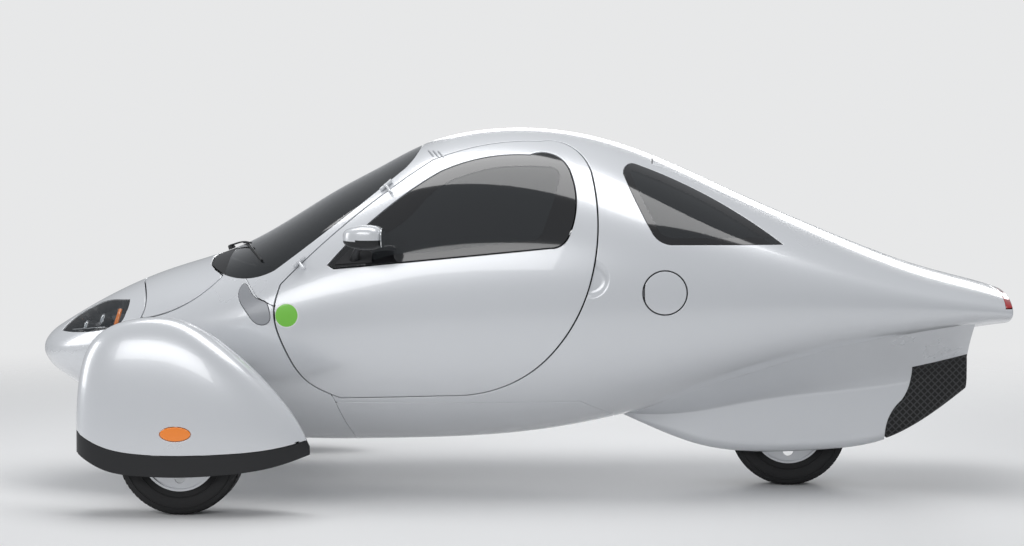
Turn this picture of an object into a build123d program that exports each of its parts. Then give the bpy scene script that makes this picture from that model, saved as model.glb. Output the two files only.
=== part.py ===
"""Three-wheeled car: two front wheels in steering pants, one rear wheel in a keel fairing.

Millimetres. The nose points to -X and the tail to +X, the car's left side to -Y, and up is +Z.
The origin is on the floor under the middle of the car.
"""
from build123d import *
import math
import os

# ---- Driving dimensions: the body -------------------------------------------------------------
BODY_LENGTH = 4394.0
BODY_HALF_WIDTH = 705.0
BODY_HEIGHT = 1640.0
WALL = 45.0                  # sandwich wall of the body and of the doors
LID_THICKNESS = 24.0         # hood and hatch
GLASS_INSET = 3.0            # the glass lies this far under the skin
GLASS_THICKNESS = 6.0
GLASS_SEAT = 16.0            # how far the glass overlaps its seat
SHUT_GAP = 7.0               # between a moving panel and the body
SEAM = 2.0                   # between two fixed body panels
FIT_GAP = 0.4                # between pieces that are bonded or seated

# ---- Driving dimensions: running gear ---------------------------------------------------------
WHEELBASE = 2628.0
REAR_AXLE_X = 1241.0
TRACK = 1980.0
TYRE_RADIUS = 266.0
TYRE_WIDTH = 155.0
RIM_RADIUS = 165.0           # bead seat
RIM_BARREL = 9.0             # barrel thickness
STUB_RADIUS = 15.0
HUB_RADIUS = 42.0
KINGPIN_INSET = 62.0         # kingpin, inboard of the wheel's middle plane
KINGPIN_RADIUS = 9.0
RUNNING_GAP = 0.1            # radial, in a bearing
ARM_SPREAD = 88.0            # each arm's eye, above or below the axle
ARM_THICKNESS = 26.0
ARM_CHORD = 64.0             # fore and aft

# ---- Driving dimensions: front wheel pants ----------------------------------------------------
PANT_HALF_WIDTH = 160.0
PANT_WALL = 12.0
SKIRT_WALL = 9.0
ARM_WINDOW = 360.0           # fore and aft opening for the arms
ARM_WINDOW_TOP = 470.0

# ---- Driving dimensions: rear fairing ---------------------------------------------------------
FAIRING_HALF_WIDTH = 172.0
FAIRING_WALL = 16.0
WHEEL_CLEARANCE = 24.0       # round the rear tyre, in the fairing's slot

# ---- Driving dimensions: doors and lids -------------------------------------------------------
DOOR_HINGE_OFFSET = 23.0     # the hinge line's ends, outside the skin
HINGE_PIN_RADIUS = 5.0
HATCH_HALF_WIDTH = 268.0
HOOD_HINGE_Y = 110.0
HATCH_HINGE_Y = 190.0
FLAP_RADIUS = 98.0
FLAP_THICKNESS = 10.0
FLAP_POCKET = 34.0           # depth of the pocket behind the flap

# ---- Driving dimensions: jacking sockets under the belly ---------------------------------------
LIFT_SOCKET_Y = 280.0
LIFT_SOCKET_Z = 262.0        # the boss's flat face
LIFT_SOCKET_RADIUS = 9.0
LIFT_SOCKET_DEPTH = 24.0
LIFT_BOSS_RADIUS = 24.0
LIFT_BOSS_LENGTH = 44.0

# ---- Driving dimensions: cabin ----------------------------------------------------------------
FLOOR_HEIGHT = 380.0
FLOOR_THICKNESS = 16.0
BATTERY_DEPTH = 96.0
BULKHEAD_X = 480.0
BULKHEAD_THICKNESS = 18.0
SEAT_WIDTH = 420.0
SEAT_PITCH = 470.0           # between the middles of the two seats
PLINTH_WIDTH = 300.0         # the block under a seat
STEERING_WHEEL_RADIUS = 178
GRIP_RADIUS = 13.0

# The body's shape was drawn at this size, and its drawn places scale with the three body sizes.
DRAWN_LENGTH = 4394.0
DRAWN_HALF_WIDTH = 705.0
DRAWN_HEIGHT = 1640.0

# Body sections, at the drawn size: place along the car, top, bottom, half width, widest height
HULL_STATIONS = [
    (-2197, 640, 610, 60, 625),
    (-2185, 672, 583, 150, 628),
    (-2100, 747, 497, 290, 635),
    (-1900, 863, 383, 420, 655),
    (-1600, 992, 283, 535, 690),
    (-1250, 1100, 222, 620, 740),
    (-850, 1348, 203, 672, 800),
    (-625, 1467, 206, 688, 826),
    (-400, 1578, 212, 700, 850),
    (50, 1640, 244, 705, 875),
    (500, 1557, 330, 688, 890),
    (950, 1367, 455, 645, 890),
    (1400, 1172, 585, 585, 880),
    (1850, 1005, 690, 510, 855),
    (2110, 937, 745, 465, 835),
    (2197, 851, 765, 450, 815),
]
HULL_POWER = 2.2             # of a section's curve: 2 is an ellipse, and more is squarer
INNER_STATIONS = HULL_STATIONS[2:-1]

# Wheel pant sections, from the axle and the floor: place, top, half width over the widest
PANT_STATIONS = [
    (-449, 430, 0.20),
    (-438, 548, 0.40),
    (-398, 704, 0.64),
    (-313, 790, 0.83),
    (-160, 833, 0.96),
    (0, 822, 1.00),
    (140, 751, 0.96),
    (290, 631, 0.82),
    (410, 505, 0.60),
    (495, 390, 0.34),
    (549, 286, 0.07),
]
PANT_POWER = 2.8
PANT_WIDEST = 240.0
PANT_HIDDEN_BOTTOM = 20.0    # the pants' sections run on down to here, and are cut off above it

# Rear fairing sections, at the drawn size: place, crease half width, crease height,
# keel half width as a share of the widest, height where the flare starts, bottom height
FAIRING_STATIONS = [
    (470, 150, 340, 0.22, 334, 326),
    (610, 345, 420, 0.62, 330, 270),
    (800, 415, 500, 0.86, 350, 200),
    (1000, 470, 590, 0.97, 390, 166),
    (1241, 505, 680, 1.00, 430, 165),
    (1461, 512, 740, 0.98, 455, 180),
    (1673, 510, 790, 0.94, 480, 222),
    (1875, 490, 812, 0.88, 520, 330),
    (2042, 470, 815, 0.80, 600, 455),
]


# ---- Drawn places and outlines ----------------------------------------------------------------
def lengthwise(x):
    """A place along the car, from its drawn place."""
    return x * BODY_LENGTH / DRAWN_LENGTH


def sideways(y):
    """A place across the car, from its drawn place."""
    return y * BODY_HALF_WIDTH / DRAWN_HALF_WIDTH


def upward(z):
    """A height, from its drawn height."""
    return z * BODY_HEIGHT / DRAWN_HEIGHT


def hull_place(x):
    """Top, bottom, half width and widest height of the body at a drawn place along it."""
    for low, high in zip(HULL_STATIONS, HULL_STATIONS[1:]):
        if low[0] <= x <= high[0]:
            share = (x - low[0]) / (high[0] - low[0])
            return [a + (b - a) * share for a, b in zip(low[1:], high[1:])]
    raise ValueError("the body ends before that place")


def skin_y(x, z):
    """How far out the body's skin is, at a drawn place and height, at the drawn size."""
    top, bottom, half_width, widest = hull_place(x)
    share = (z - widest) / (top - widest) if z > widest else (widest - z) / (widest - bottom)
    return half_width * max(0.0, 1 - share ** HULL_POWER) ** (1 / HULL_POWER)


def arc(a, b, c):
    """A piece of a side-view outline: an arc through three drawn points."""
    return [a, b, c]


def line(a, b):
    """A piece of a side-view outline: a straight line."""
    return [a, b]


def polygon(*corners):
    """A closed outline of straight lines."""
    return [line(a, b) for a, b in zip(corners, corners[1:] + corners[:1])]


def end_normals(piece):
    """The outward normals of a piece at its two ends, where the outline runs clockwise."""
    (ax, az), (cx, cz) = piece[0], piece[-1]
    if len(piece) == 2:
        length = math.hypot(cx - ax, cz - az)
        normal = (-(cz - az) / length, (cx - ax) / length)
        return normal, normal
    bx, bz = piece[1]
    twice = 2 * (ax * (bz - cz) + bx * (cz - az) + cx * (az - bz))
    sums = [x * x + z * z for x, z in piece]
    mx = (sums[0] * (bz - cz) + sums[1] * (cz - az) + sums[2] * (az - bz)) / twice
    mz = (sums[0] * (cx - bx) + sums[1] * (ax - cx) + sums[2] * (bx - ax)) / twice
    radius = math.hypot(ax - mx, az - mz)
    way = 1 if twice < 0 else -1
    return [(way * (x - mx) / radius, way * (z - mz) / radius) for x, z in (piece[0], piece[-1])]


def grown(outline, by):
    """The clockwise outline with each of its points moved outwards, square to it."""
    if by == 0:
        return outline
    corners = []
    for before, after in zip(outline[-1:] + outline[:-1], outline):
        (px, pz), (nx, nz) = end_normals(before)[1], end_normals(after)[0]
        share = by / max(0.35, 1 + px * nx + pz * nz)
        corners.append((after[0][0] + share * (px + nx), after[0][1] + share * (pz + nz)))
    pieces = []
    for piece, a, c in zip(outline, corners, corners[1:] + corners[:1]):
        if len(piece) == 3:
            (px, pz), (nx, nz) = end_normals(piece)
            mx, mz = px + nx, pz + nz
            size = by / math.hypot(mx, mz)
            pieces.append([a, (piece[1][0] + mx * size, piece[1][1] + mz * size), c])
        else:
            pieces.append([a, c])
    return pieces


def outline_wire(outline, y, shift=lambda x, z: z):
    """The outline as a wire at a place across the car, each point's height moved by shift."""
    edges = []
    for piece in outline:
        points = [(lengthwise(x), y, upward(shift(x, z))) for x, z in piece]
        edges.append(ThreePointArc(*points) if len(points) == 3 else Line(*points))
    return Wire(edges)


def across(outline, low_y, high_y):
    """A solid with the outline in the side view, that runs across the car between two places."""
    face = Face(outline_wire(outline, low_y))
    return Solid.extrude(face, Vector(0, high_y - low_y, 0))


def block(low, high):
    """A box from its lowest corner to its highest."""
    size = [b - a for a, b in zip(low, high)]
    return Solid.make_box(*size).moved(Location(low))


def rod(start, end, radius):
    """A round bar between two points."""
    way = Vector(*end) - Vector(*start)
    return Solid.make_cylinder(radius, way.length, Plane(origin=start, z_dir=way))


def mirrored(shape):
    """The other side's copy."""
    return shape.mirror(Plane.XZ)


# ---- Clockwise outlines, seen from the car's left, nose to the left ----------------------------
DOOR_OUTLINE = [
    arc((-1020, 954), (-721, 1234), (-370, 1495)),
    arc((-370, 1495), (-150, 1561), (110, 1580)),
    arc((110, 1580), (267, 1545), (346, 1444)),
    arc((346, 1444), (378, 1210), (355, 1003)),
    arc((355, 1003), (278, 795), (146, 620)),
    arc((146, 620), (-31, 504), (-275, 458)),
    line((-275, 458), (-760, 444)),
    arc((-760, 444), (-915, 530), (-1003, 680)),
    arc((-1003, 680), (-1061, 850), (-1020, 954)),
]
WINDOW_OUTLINE = [
    arc((-803, 1040), (-570, 1272), (-327, 1443)),
    arc((-327, 1443), (-140, 1504), (70, 1518)),
    arc((70, 1518), (203, 1503), (254, 1431)),
    arc((254, 1431), (277, 1298), (246, 1166)),
    arc((246, 1166), (216, 1131), (168, 1119)),
    line((168, 1119), (-780, 1026)),
    line((-780, 1026), (-803, 1040)),
]
QUARTER_OUTLINE = [
    arc((484, 1436), (496, 1472), (536, 1480)),
    arc((536, 1480), (845, 1345), (1186, 1128)),
    line((1186, 1128), (710, 1130)),
    arc((710, 1130), (644, 1147), (606, 1192)),
    arc((606, 1192), (540, 1316), (484, 1436)),
]
WINDSCREEN_OUTLINE = [
    line((-1375, 1026), (-1384, 1054)),
    line((-1384, 1054), (-1384, 1900)),
    line((-1384, 1900), (-430, 1900)),
    line((-430, 1900), (-430, 1590)),
    arc((-430, 1590), (-452, 1512), (-511, 1442)),
    arc((-511, 1442), (-790, 1212), (-1049, 1013)),
    arc((-1049, 1013), (-1213, 974), (-1375, 1026)),
]
COWL_END = -1292.0           # the windscreen's glass starts here
HOOD_HINGE_EDGE = (-1728.0, 946.0)
HATCH_HINGE_EDGE = (610.0, 1517.0)
HOOD_OUTLINE = [
    line((-1728, 772), (-1728, 1300)),
    line((-1728, 1300), (-1200, 1300)),
    line((-1200, 1300), (-1200, 1010)),
    line((-1200, 1010), (-1303, 976)),
    arc((-1303, 976), (-1430, 861), (-1728, 772)),
]
# The hood's rear edge seen from above, on one side: places along the car and from its middle
HOOD_REAR = [(-1290, 800), (-1290, 480), (-1298, 463), (-1343, 389), (-1375, 284), (-1388, 150)]
HATCH_OUTLINE = [
    line((610, 1330), (610, 1700)),
    line((610, 1700), (2440, 1700)),
    line((2440, 1700), (2150, 900)),
    line((2150, 900), (2140, 865)),
    line((2140, 865), (610, 1330)),
]
LAMP_OUTLINE = [
    arc((-2078, 716), (-2035, 768), (-1959, 816)),
    arc((-1959, 816), (-1890, 847), (-1813, 862)),
    line((-1813, 862), (-1741, 866)),
    arc((-1741, 866), (-1738, 836), (-1745, 810)),
    arc((-1745, 810), (-1770, 762), (-1820, 741)),
    arc((-1820, 741), (-1940, 720), (-2078, 716)),
]
FRONT_OUTLINE = polygon(
    (-2400, -100), (-2400, 1900), (-1183, 1900), (-1183, 975), (-1122, 896),
    (-1030, 850), (-800, 460), (-790, 442), (-736, 273), (-700, -100),
)
BELLY_OUTLINE = polygon((-1000, -100), (-1000, 428), (300, 428), (440, 350), (440, -100))
MOUTH_OUTLINE = [
    line((1787, 561), (2043, 617)),
    line((2043, 617), (2400, 617)),
    line((2400, 617), (2400, 100)),
    line((2400, 100), (1673, 100)),
    line((1673, 100), (1673, 222)),
    arc((1673, 222), (1690, 330), (1745, 405)),
    arc((1745, 405), (1778, 470), (1787, 561)),
]
TAIL_LAMP_OUTLINE = polygon((2165, 845), (2165, 985), (2400, 985), (2400, 845))


# ---- The body's skins -------------------------------------------------------------------------
def egg_ring(x, top, bottom, half_width, widest, power):
    """A closed ring of eight arcs at one place along the car."""
    points = []
    for step in range(16):
        turn = math.radians(22.5 * step)
        cosine = 0.0 if step % 8 == 4 else math.cos(turn)
        sine = 0.0 if step % 8 == 0 else math.sin(turn)
        out = half_width * math.copysign(abs(cosine) ** (2 / power), cosine)
        rise = top - widest if sine > 0 else widest - bottom
        points.append((x, out, widest + rise * math.copysign(abs(sine) ** (2 / power), sine)))
    return Wire([
        ThreePointArc(points[i], points[i + 1], points[(i + 2) % 16]) for i in range(0, 16, 2)
    ])


def hull(inset=0.0):
    """The body's whole shape as a solid, or the shape this far under its skin."""
    rings = []
    for x, top, bottom, half_width, widest in (INNER_STATIONS if inset > 0 else HULL_STATIONS):
        rings.append(egg_ring(
            lengthwise(x), upward(top) - inset, upward(bottom) + inset,
            sideways(half_width) - inset, upward(widest), HULL_POWER,
        ))
    return Solid.make_loft(rings)


def door_cut(grow, side=-1):
    """The door's piece of the body, with a top edge that slants so that the door swings clear."""
    outline = grown(DOOR_OUTLINE, grow)
    far, near = DRAWN_HALF_WIDTH + 45, 60.0
    slant, slant_from, slant_full = 0.36, 1250.0, 1480.0

    def shifted(at):
        def shift(x, z):
            share = min(1.0, max(0.0, (z - slant_from) / (slant_full - slant_from)))
            return z + share * slant * (at - skin_y(x, min(z, hull_place(x)[0])))
        return shift

    wires = [outline_wire(outline, side * sideways(y), shifted(y)) for y in (far, near)]
    return Solid.make_loft(wires, ruled=True)


def one(shape):
    """The shape's largest solid."""
    return max(shape.solids(), key=lambda solid: solid.volume)


nodes = {}
OUTER = hull()
INNER = hull(WALL)
SHELL = OUTER - INNER
OUTER_CLEAR = hull(-FIT_GAP)
INNER_CLEAR = hull(WALL + FIT_GAP)
GLASS_OUT = hull(GLASS_INSET)
GLASS_IN = hull(GLASS_INSET + GLASS_THICKNESS)
GLASS_BED = OUTER - hull(GLASS_INSET + GLASS_THICKNESS + FIT_GAP)
LID = OUTER - hull(LID_THICKNESS)
WIDE = sideways(DRAWN_HALF_WIDTH) + 60


def glazed(outline, grow, low_y, high_y):
    """A curved pane with this outline."""
    return (GLASS_OUT & across(grown(outline, grow), low_y, high_y)) - GLASS_IN


def glazing_cut(outline, low_y, high_y):
    """What a pane's seat and its opening take out of a wall."""
    seat = GLASS_BED & across(grown(outline, FIT_GAP), low_y, high_y)
    return [seat, across(grown(outline, -GLASS_SEAT), low_y, high_y)]


# ---- Hinges -----------------------------------------------------------------------------------
GOOSENECK_AHEAD = 70.0       # pivot, ahead of the lid's edge along the skin
GOOSENECK_UNDER = 80.0       # pivot, under the skin
GOOSENECK_WIDTH = 14.0
GOOSENECK_DEPTH = 18.0
EAR_THICKNESS = 8.0
EAR_RADIUS = 14.0


def lid_pivot(edge, slope):
    """Where a lid's gooseneck hinges turn, from its edge at the skin and the skin's slope."""
    along = (math.cos(slope), math.sin(slope))
    x = lengthwise(edge[0]) - GOOSENECK_AHEAD * along[0] + GOOSENECK_UNDER * along[1]
    z = upward(edge[1]) - GOOSENECK_AHEAD * along[1] - GOOSENECK_UNDER * along[0]
    return x, z


def gooseneck(pivot, slope, y):
    """One hinge of a lid: its bent arm with the pivot pin, which goes on the lid."""
    x, z = pivot
    inner = math.hypot(GOOSENECK_AHEAD, GOOSENECK_UNDER) + 4
    outer = inner + GOOSENECK_DEPTH
    low, high = math.radians(-56) + slope, math.radians(42) + slope

    def at(radius, turn):
        return (x + radius * math.cos(turn), y - GOOSENECK_WIDTH / 2, z + radius * math.sin(turn))

    middle = (low + high) / 2
    ring = Wire([
        Line(at(inner, low), at(outer, low)),
        ThreePointArc(at(outer, low), at(outer, middle), at(outer, high)),
        Line(at(outer, high), at(inner, high)),
        ThreePointArc(at(inner, high), at(inner, middle), at(inner, low)),
    ])
    neck = Solid.extrude(Face(ring), Vector(0, GOOSENECK_WIDTH, 0))
    spoke = block((0, -GOOSENECK_WIDTH / 2, -GOOSENECK_DEPTH / 2),
                  (outer - 2, GOOSENECK_WIDTH / 2, GOOSENECK_DEPTH / 2))
    spoke = spoke.rotate(Axis.Y, -math.degrees(low)).moved(Location((x, y, z)))
    reach = GOOSENECK_WIDTH / 2 + FIT_GAP + EAR_THICKNESS
    pin = rod((x, y - reach, z), (x, y + reach, z), HINGE_PIN_RADIUS)
    return (neck + spoke) + pin


def hinge_ears(pivot, y, top, skin):
    """The two ears on the body that hold a gooseneck's pin, trimmed under the skin."""
    x, z = pivot
    ears = None
    for side in (-1, 1):
        near = y + side * (GOOSENECK_WIDTH / 2 + FIT_GAP)
        far = near + side * EAR_THICKNESS
        low, high = min(near, far), max(near, far)
        ear = block((x - EAR_RADIUS, low, z), (x + EAR_RADIUS, high, top))
        ear = (ear + rod((x, low, z), (x, high, z), EAR_RADIUS)) & skin
        ear = ear - rod((x, low - 1, z), (x, high + 1, z), HINGE_PIN_RADIUS + RUNNING_GAP)
        ears = ear if ears is None else ears + ear
    return ears


HOOD_SLOPE = math.radians(23)
HATCH_SLOPE = math.radians(-21)
HOOD_PIVOT = lid_pivot(HOOD_HINGE_EDGE, HOOD_SLOPE)
HATCH_PIVOT = lid_pivot(HATCH_HINGE_EDGE, HATCH_SLOPE)


def lid_zone(outline, pivot, edge, grow, half_width):
    """A lid's piece of the body, whose hinged edge is round the pivot."""
    reach = math.hypot(lengthwise(edge[0]) - pivot[0], upward(edge[1]) - pivot[1]) - grow
    zone = across(grown(outline, grow), -half_width - grow, half_width + grow)
    return zone - rod((pivot[0], -WIDE, pivot[1]), (pivot[0], WIDE, pivot[1]), reach)


def hood_zone(grow):
    zone = lid_zone(HOOD_OUTLINE, HOOD_PIVOT, HOOD_HINGE_EDGE, grow, WIDE)
    corners = [(-2000, 800)] + HOOD_REAR + [(x, -y) for x, y in reversed(HOOD_REAR)]
    corners.append((-2000, -800))
    spots = [(lengthwise(piece[0][0]), sideways(piece[0][1]), 0)
             for piece in grown(polygon(*corners), grow)]
    ring = Wire([Line(a, b) for a, b in zip(spots, spots[1:] + spots[:1])])
    return zone & Solid.extrude(Face(ring), Vector(0, 0, 2 * BODY_HEIGHT))


def hatch_zone(grow):
    return lid_zone(HATCH_OUTLINE, HATCH_PIVOT, HATCH_HINGE_EDGE, grow, HATCH_HALF_WIDTH)


# The door's hinge line goes through two hinges on the windscreen pillar. Side-view places, at the
# drawn size: the hinge's middle over the pillar, and its stud on the door
DOOR_HINGES = [
    {"pivot": (-939.0, 1053.0), "on_door": (-914.0, 1026.0)},
    {"pivot": (-569.0, 1384.0), "on_door": (-544.0, 1357.0)},
]
KNUCKLE_LENGTH = 22.0
KNUCKLE_RADIUS = 9.0
STUD_RADIUS = 6.0
STUD_LENGTH = 40.0


def off_skin(place, out):
    """A point this far outside the left skin, straight out of the side view."""
    x, z = place
    return Vector(lengthwise(x), -sideways(skin_y(x, z)) - out, upward(z))


DOOR_PIVOTS = [off_skin(hinge["pivot"], DOOR_HINGE_OFFSET) for hinge in DOOR_HINGES]
DOOR_AXIS = (DOOR_PIVOTS[1] - DOOR_PIVOTS[0]).normalized()


def stud(head):
    """A stud from a hinge into the wall behind it."""
    return rod(head, head + Vector(0, DOOR_HINGE_OFFSET + STUD_LENGTH, 0), STUD_RADIUS)


def door_hinge(hinge, pivot):
    """A door hinge's two pieces: on the body, and on the door with the pin."""
    half = KNUCKLE_LENGTH / 2
    reach = half + KNUCKLE_LENGTH
    head = off_skin(hinge["on_door"], DOOR_HINGE_OFFSET)
    moving = rod(pivot - DOOR_AXIS * half, pivot + DOOR_AXIS * half, KNUCKLE_RADIUS)
    moving += rod(pivot - DOOR_AXIS * reach, pivot + DOOR_AXIS * reach, HINGE_PIN_RADIUS)
    moving += rod(pivot, head, STUD_RADIUS) + stud(head)
    moving += Solid.make_sphere(STUD_RADIUS, angle1=-90).moved(Location(head))
    fixed = None
    for side in (-1, 1):
        near = pivot + DOOR_AXIS * (side * (half + FIT_GAP))
        far = pivot + DOOR_AXIS * (side * reach)
        piece = rod(near, far, KNUCKLE_RADIUS) + stud((near + far) * 0.5)
        fixed = piece if fixed is None else fixed + piece
    return fixed - rod(pivot - DOOR_AXIS * (reach + 1), pivot + DOOR_AXIS * (reach + 1),
                       HINGE_PIN_RADIUS + RUNNING_GAP), moving


# ---- Body panels ------------------------------------------------------------------------------
def both(shape):
    """A left-hand cutter with its right-hand copy."""
    return [shape, mirrored(shape)]


DOOR_OPENING = door_cut(SHUT_GAP / 2)
WINDOW_CUT = glazing_cut(WINDOW_OUTLINE, -WIDE, -60)
QUARTER_CUT = glazing_cut(QUARTER_OUTLINE, -WIDE, -60)
SCREEN_SEAT, SCREEN_HOLE = glazing_cut(WINDSCREEN_OUTLINE, -WIDE, WIDE)
COWL_CUT = (OUTER - hull(LID_THICKNESS + FIT_GAP)) & across(
    grown(WINDSCREEN_OUTLINE, FIT_GAP), -WIDE, WIDE)
LAMP_CUT = across(LAMP_OUTLINE, -WIDE, -sideways(140))
FRONT_ZONE = across(FRONT_OUTLINE, -WIDE, WIDE)
BELLY_ZONE = across(BELLY_OUTLINE, -WIDE, WIDE)

# The charge flap is on the left flank, behind the door
FLAP_PLACE = (667.0, 924.0)
FLAP_X, FLAP_Z = lengthwise(FLAP_PLACE[0]), upward(FLAP_PLACE[1])
FLAP_Y = -sideways(skin_y(*FLAP_PLACE))
FLAP_PIVOT = (FLAP_X - FLAP_RADIUS - 4, -sideways(skin_y(560, FLAP_PLACE[1])) + 7)


def flap_rod(radius, depth):
    return rod((FLAP_X, FLAP_Y - 60, FLAP_Z), (FLAP_X, FLAP_Y + depth, FLAP_Z), radius)


# The two coolers' and arms' openings in the nose are in the running gear's section
def arm_line(side, level):
    """A front arm's eye centre and its inner end: side -1 is left, and level -1 is the lower."""
    axle_x = REAR_AXLE_X - WHEELBASE
    eye = Vector(axle_x, side * (TRACK / 2 - KINGPIN_INSET), TYRE_RADIUS + level * ARM_SPREAD)
    inner = Vector(axle_x, side * SUBFRAME_HALF_WIDTH, ARM_INNER_HEIGHT + level * ARM_INNER_SPREAD)
    return eye, inner


SUBFRAME_HALF_WIDTH = 190.0
ARM_INNER_HEIGHT = 372.0
ARM_INNER_SPREAD = 56.0
ARM_HOLE_CLEARANCE = 12.0


def blade(start, end, chord, thickness):
    """A flat bar with round edges, between two points in a plane across the car."""
    way = end - start
    plane = Plane(origin=start, x_dir=Vector(1, 0, 0), z_dir=way)
    half, edge = chord / 2 - thickness / 2, thickness / 2
    corners = [(-half, -edge), (half, -edge), (half, edge), (-half, edge)]
    points = [plane.from_local_coords(Vector(x, y, 0)) for x, y in corners]
    ends = [plane.from_local_coords(Vector(x, 0, 0)) for x in (half + edge, -half - edge)]
    ring = Wire([
        Line(points[0], points[1]), ThreePointArc(points[1], ends[0], points[2]),
        Line(points[2], points[3]), ThreePointArc(points[3], ends[1], points[0]),
    ])
    return Solid.extrude(Face(ring), way)


def arm_hole(side, level):
    eye, inner = arm_line(side, level)
    return blade(inner, eye, ARM_CHORD + 2 * ARM_HOLE_CLEARANCE,
                 ARM_THICKNESS + 2 * ARM_HOLE_CLEARANCE)


def make_body():
    """The fixed panels: nose and sills, cabin and tail, and belly."""
    front = SHELL & FRONT_ZONE
    for cutter in [hood_zone(SHUT_GAP / 2), SCREEN_HOLE, COWL_CUT, DOOR_OPENING,
                   mirrored(DOOR_OPENING), *both(LAMP_CUT)]:
        front = front - cutter
    for side in (-1, 1):
        for level in (-1, 1):
            front = front - arm_hole(side, level)
    belly = (SHELL & BELLY_ZONE) - across(grown(FRONT_OUTLINE, 0), -WIDE, WIDE)
    rear = SHELL - across(FRONT_OUTLINE, -WIDE, WIDE) - BELLY_ZONE
    for cutter in [hood_zone(SHUT_GAP / 2), SCREEN_SEAT, SCREEN_HOLE, hatch_zone(SHUT_GAP / 2),
                   DOOR_OPENING, mirrored(DOOR_OPENING), COWL_CUT]:
        rear = rear - cutter
    for cutter in QUARTER_CUT:
        for copy in both(cutter):
            rear = rear - copy
    rear = rear - across(grown(TAIL_LAMP_OUTLINE, FIT_GAP), -WIDE, WIDE)
    return one(front), one(belly), one(rear)


FRONT_BODY, BELLY_PAN, MAIN_BODY = make_body()


def lift_socket(side):
    """A jacking socket's boss under the sill, and the hole in it."""
    y = side * LIFT_SOCKET_Y
    boss = rod((0, y, LIFT_SOCKET_Z), (0, y, LIFT_SOCKET_Z + LIFT_BOSS_LENGTH), LIFT_BOSS_RADIUS)
    hole = rod((0, y, LIFT_SOCKET_Z - 1), (0, y, LIFT_SOCKET_Z + LIFT_SOCKET_DEPTH),
               LIFT_SOCKET_RADIUS)
    return boss, hole


def make_lift_sockets():
    global BELLY_PAN
    for side in (-1, 1):
        boss, hole = lift_socket(side)
        BELLY_PAN = one((BELLY_PAN + boss) - hole)


make_lift_sockets()


# ---- Charge flap and its pocket ---------------------------------------------------------------
def make_charge_port():
    """The round flap on the left flank with its hinge, and the socket in the pocket behind it."""
    global MAIN_BODY
    skin_band = OUTER - hull(FLAP_THICKNESS)
    disc = one(skin_band & flap_rod(FLAP_RADIUS - SHUT_GAP / 2, 60))
    x, y = FLAP_PIVOT
    half = 18.0
    barrel = rod((x, y, FLAP_Z - half), (x, y, FLAP_Z + half), 5)
    pin = rod((x, y, FLAP_Z - half - 10), (x, y, FLAP_Z + half + 10), 2.5)
    tab = block((x, y - 3, FLAP_Z - half), (x + 40, y + 4, FLAP_Z + half))
    tab = tab & hull(FLAP_THICKNESS / 2)
    nodes["charge_flap"] = (disc + tab) + barrel + pin
    notch = rod((x, y, FLAP_Z - half - FIT_GAP), (x, y, FLAP_Z + half + FIT_GAP), 15)
    notch += block((x - 10, y - 40, FLAP_Z - half - FIT_GAP), (x + 30, y + 14, FLAP_Z + half + FIT_GAP))
    reach = half + 9           # room in the skin for the disc's edge as it swings past
    notch += block((x - 12, y - 40, FLAP_Z - reach), (x + 10, y - 4, FLAP_Z + reach))
    pocket = flap_rod(FLAP_RADIUS - 5, FLAP_POCKET)
    step = flap_rod(FLAP_RADIUS + SHUT_GAP / 2, 60) - hull(FLAP_THICKNESS + 5)
    bore = rod((x, y, FLAP_Z - half - 10.5), (x, y, FLAP_Z + half + 10.5), 2.5 + RUNNING_GAP)
    MAIN_BODY = one(MAIN_BODY - pocket - step - notch - bore)
    floor_y = FLAP_Y + FLAP_POCKET
    face = (FLAP_X, floor_y - 8, FLAP_Z)
    base = rod((FLAP_X, floor_y, FLAP_Z), face, 46) + rod(face, (FLAP_X, floor_y - 15, FLAP_Z), 34)
    pins = rod((FLAP_X, floor_y - 30, FLAP_Z), (FLAP_X, floor_y - 5, FLAP_Z), 26)
    nodes["charge_socket"] = base - pins


make_charge_port()


# ---- Lids -------------------------------------------------------------------------------------
def make_lids():
    """Hood and hatch, each with two gooseneck hinges, and their ears on the body."""
    global FRONT_BODY, MAIN_BODY
    hood = one(LID & hood_zone(-SHUT_GAP / 2))
    hatch = one(LID & hatch_zone(-SHUT_GAP / 2))
    for side in (-1, 1):
        y = side * HOOD_HINGE_Y
        hood += gooseneck(HOOD_PIVOT, HOOD_SLOPE, y) & hull(LID_THICKNESS / 2)
        FRONT_BODY += hinge_ears(HOOD_PIVOT, y, upward(900), hull(WALL / 2))
        y = side * HATCH_HINGE_Y
        hatch += gooseneck(HATCH_PIVOT, HATCH_SLOPE, y) & hull(LID_THICKNESS / 2)
        MAIN_BODY += hinge_ears(HATCH_PIVOT, y, upward(1600), hull(WALL / 2))
    nodes["hood"] = hood
    nodes["hatch"] = hatch


make_lids()


# ---- Doors ------------------------------------------------------------------------------------
MIRROR_HEAD = {"low": (-716.0, -905.0, 1112.0), "high": (-540.0, -712.0, 1222.0)}
HANDLE_PLACE = (342.0, 985.0)
HANDLE_RADIUS = 88.0
HANDLE_DEPTH = 22.0


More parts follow.
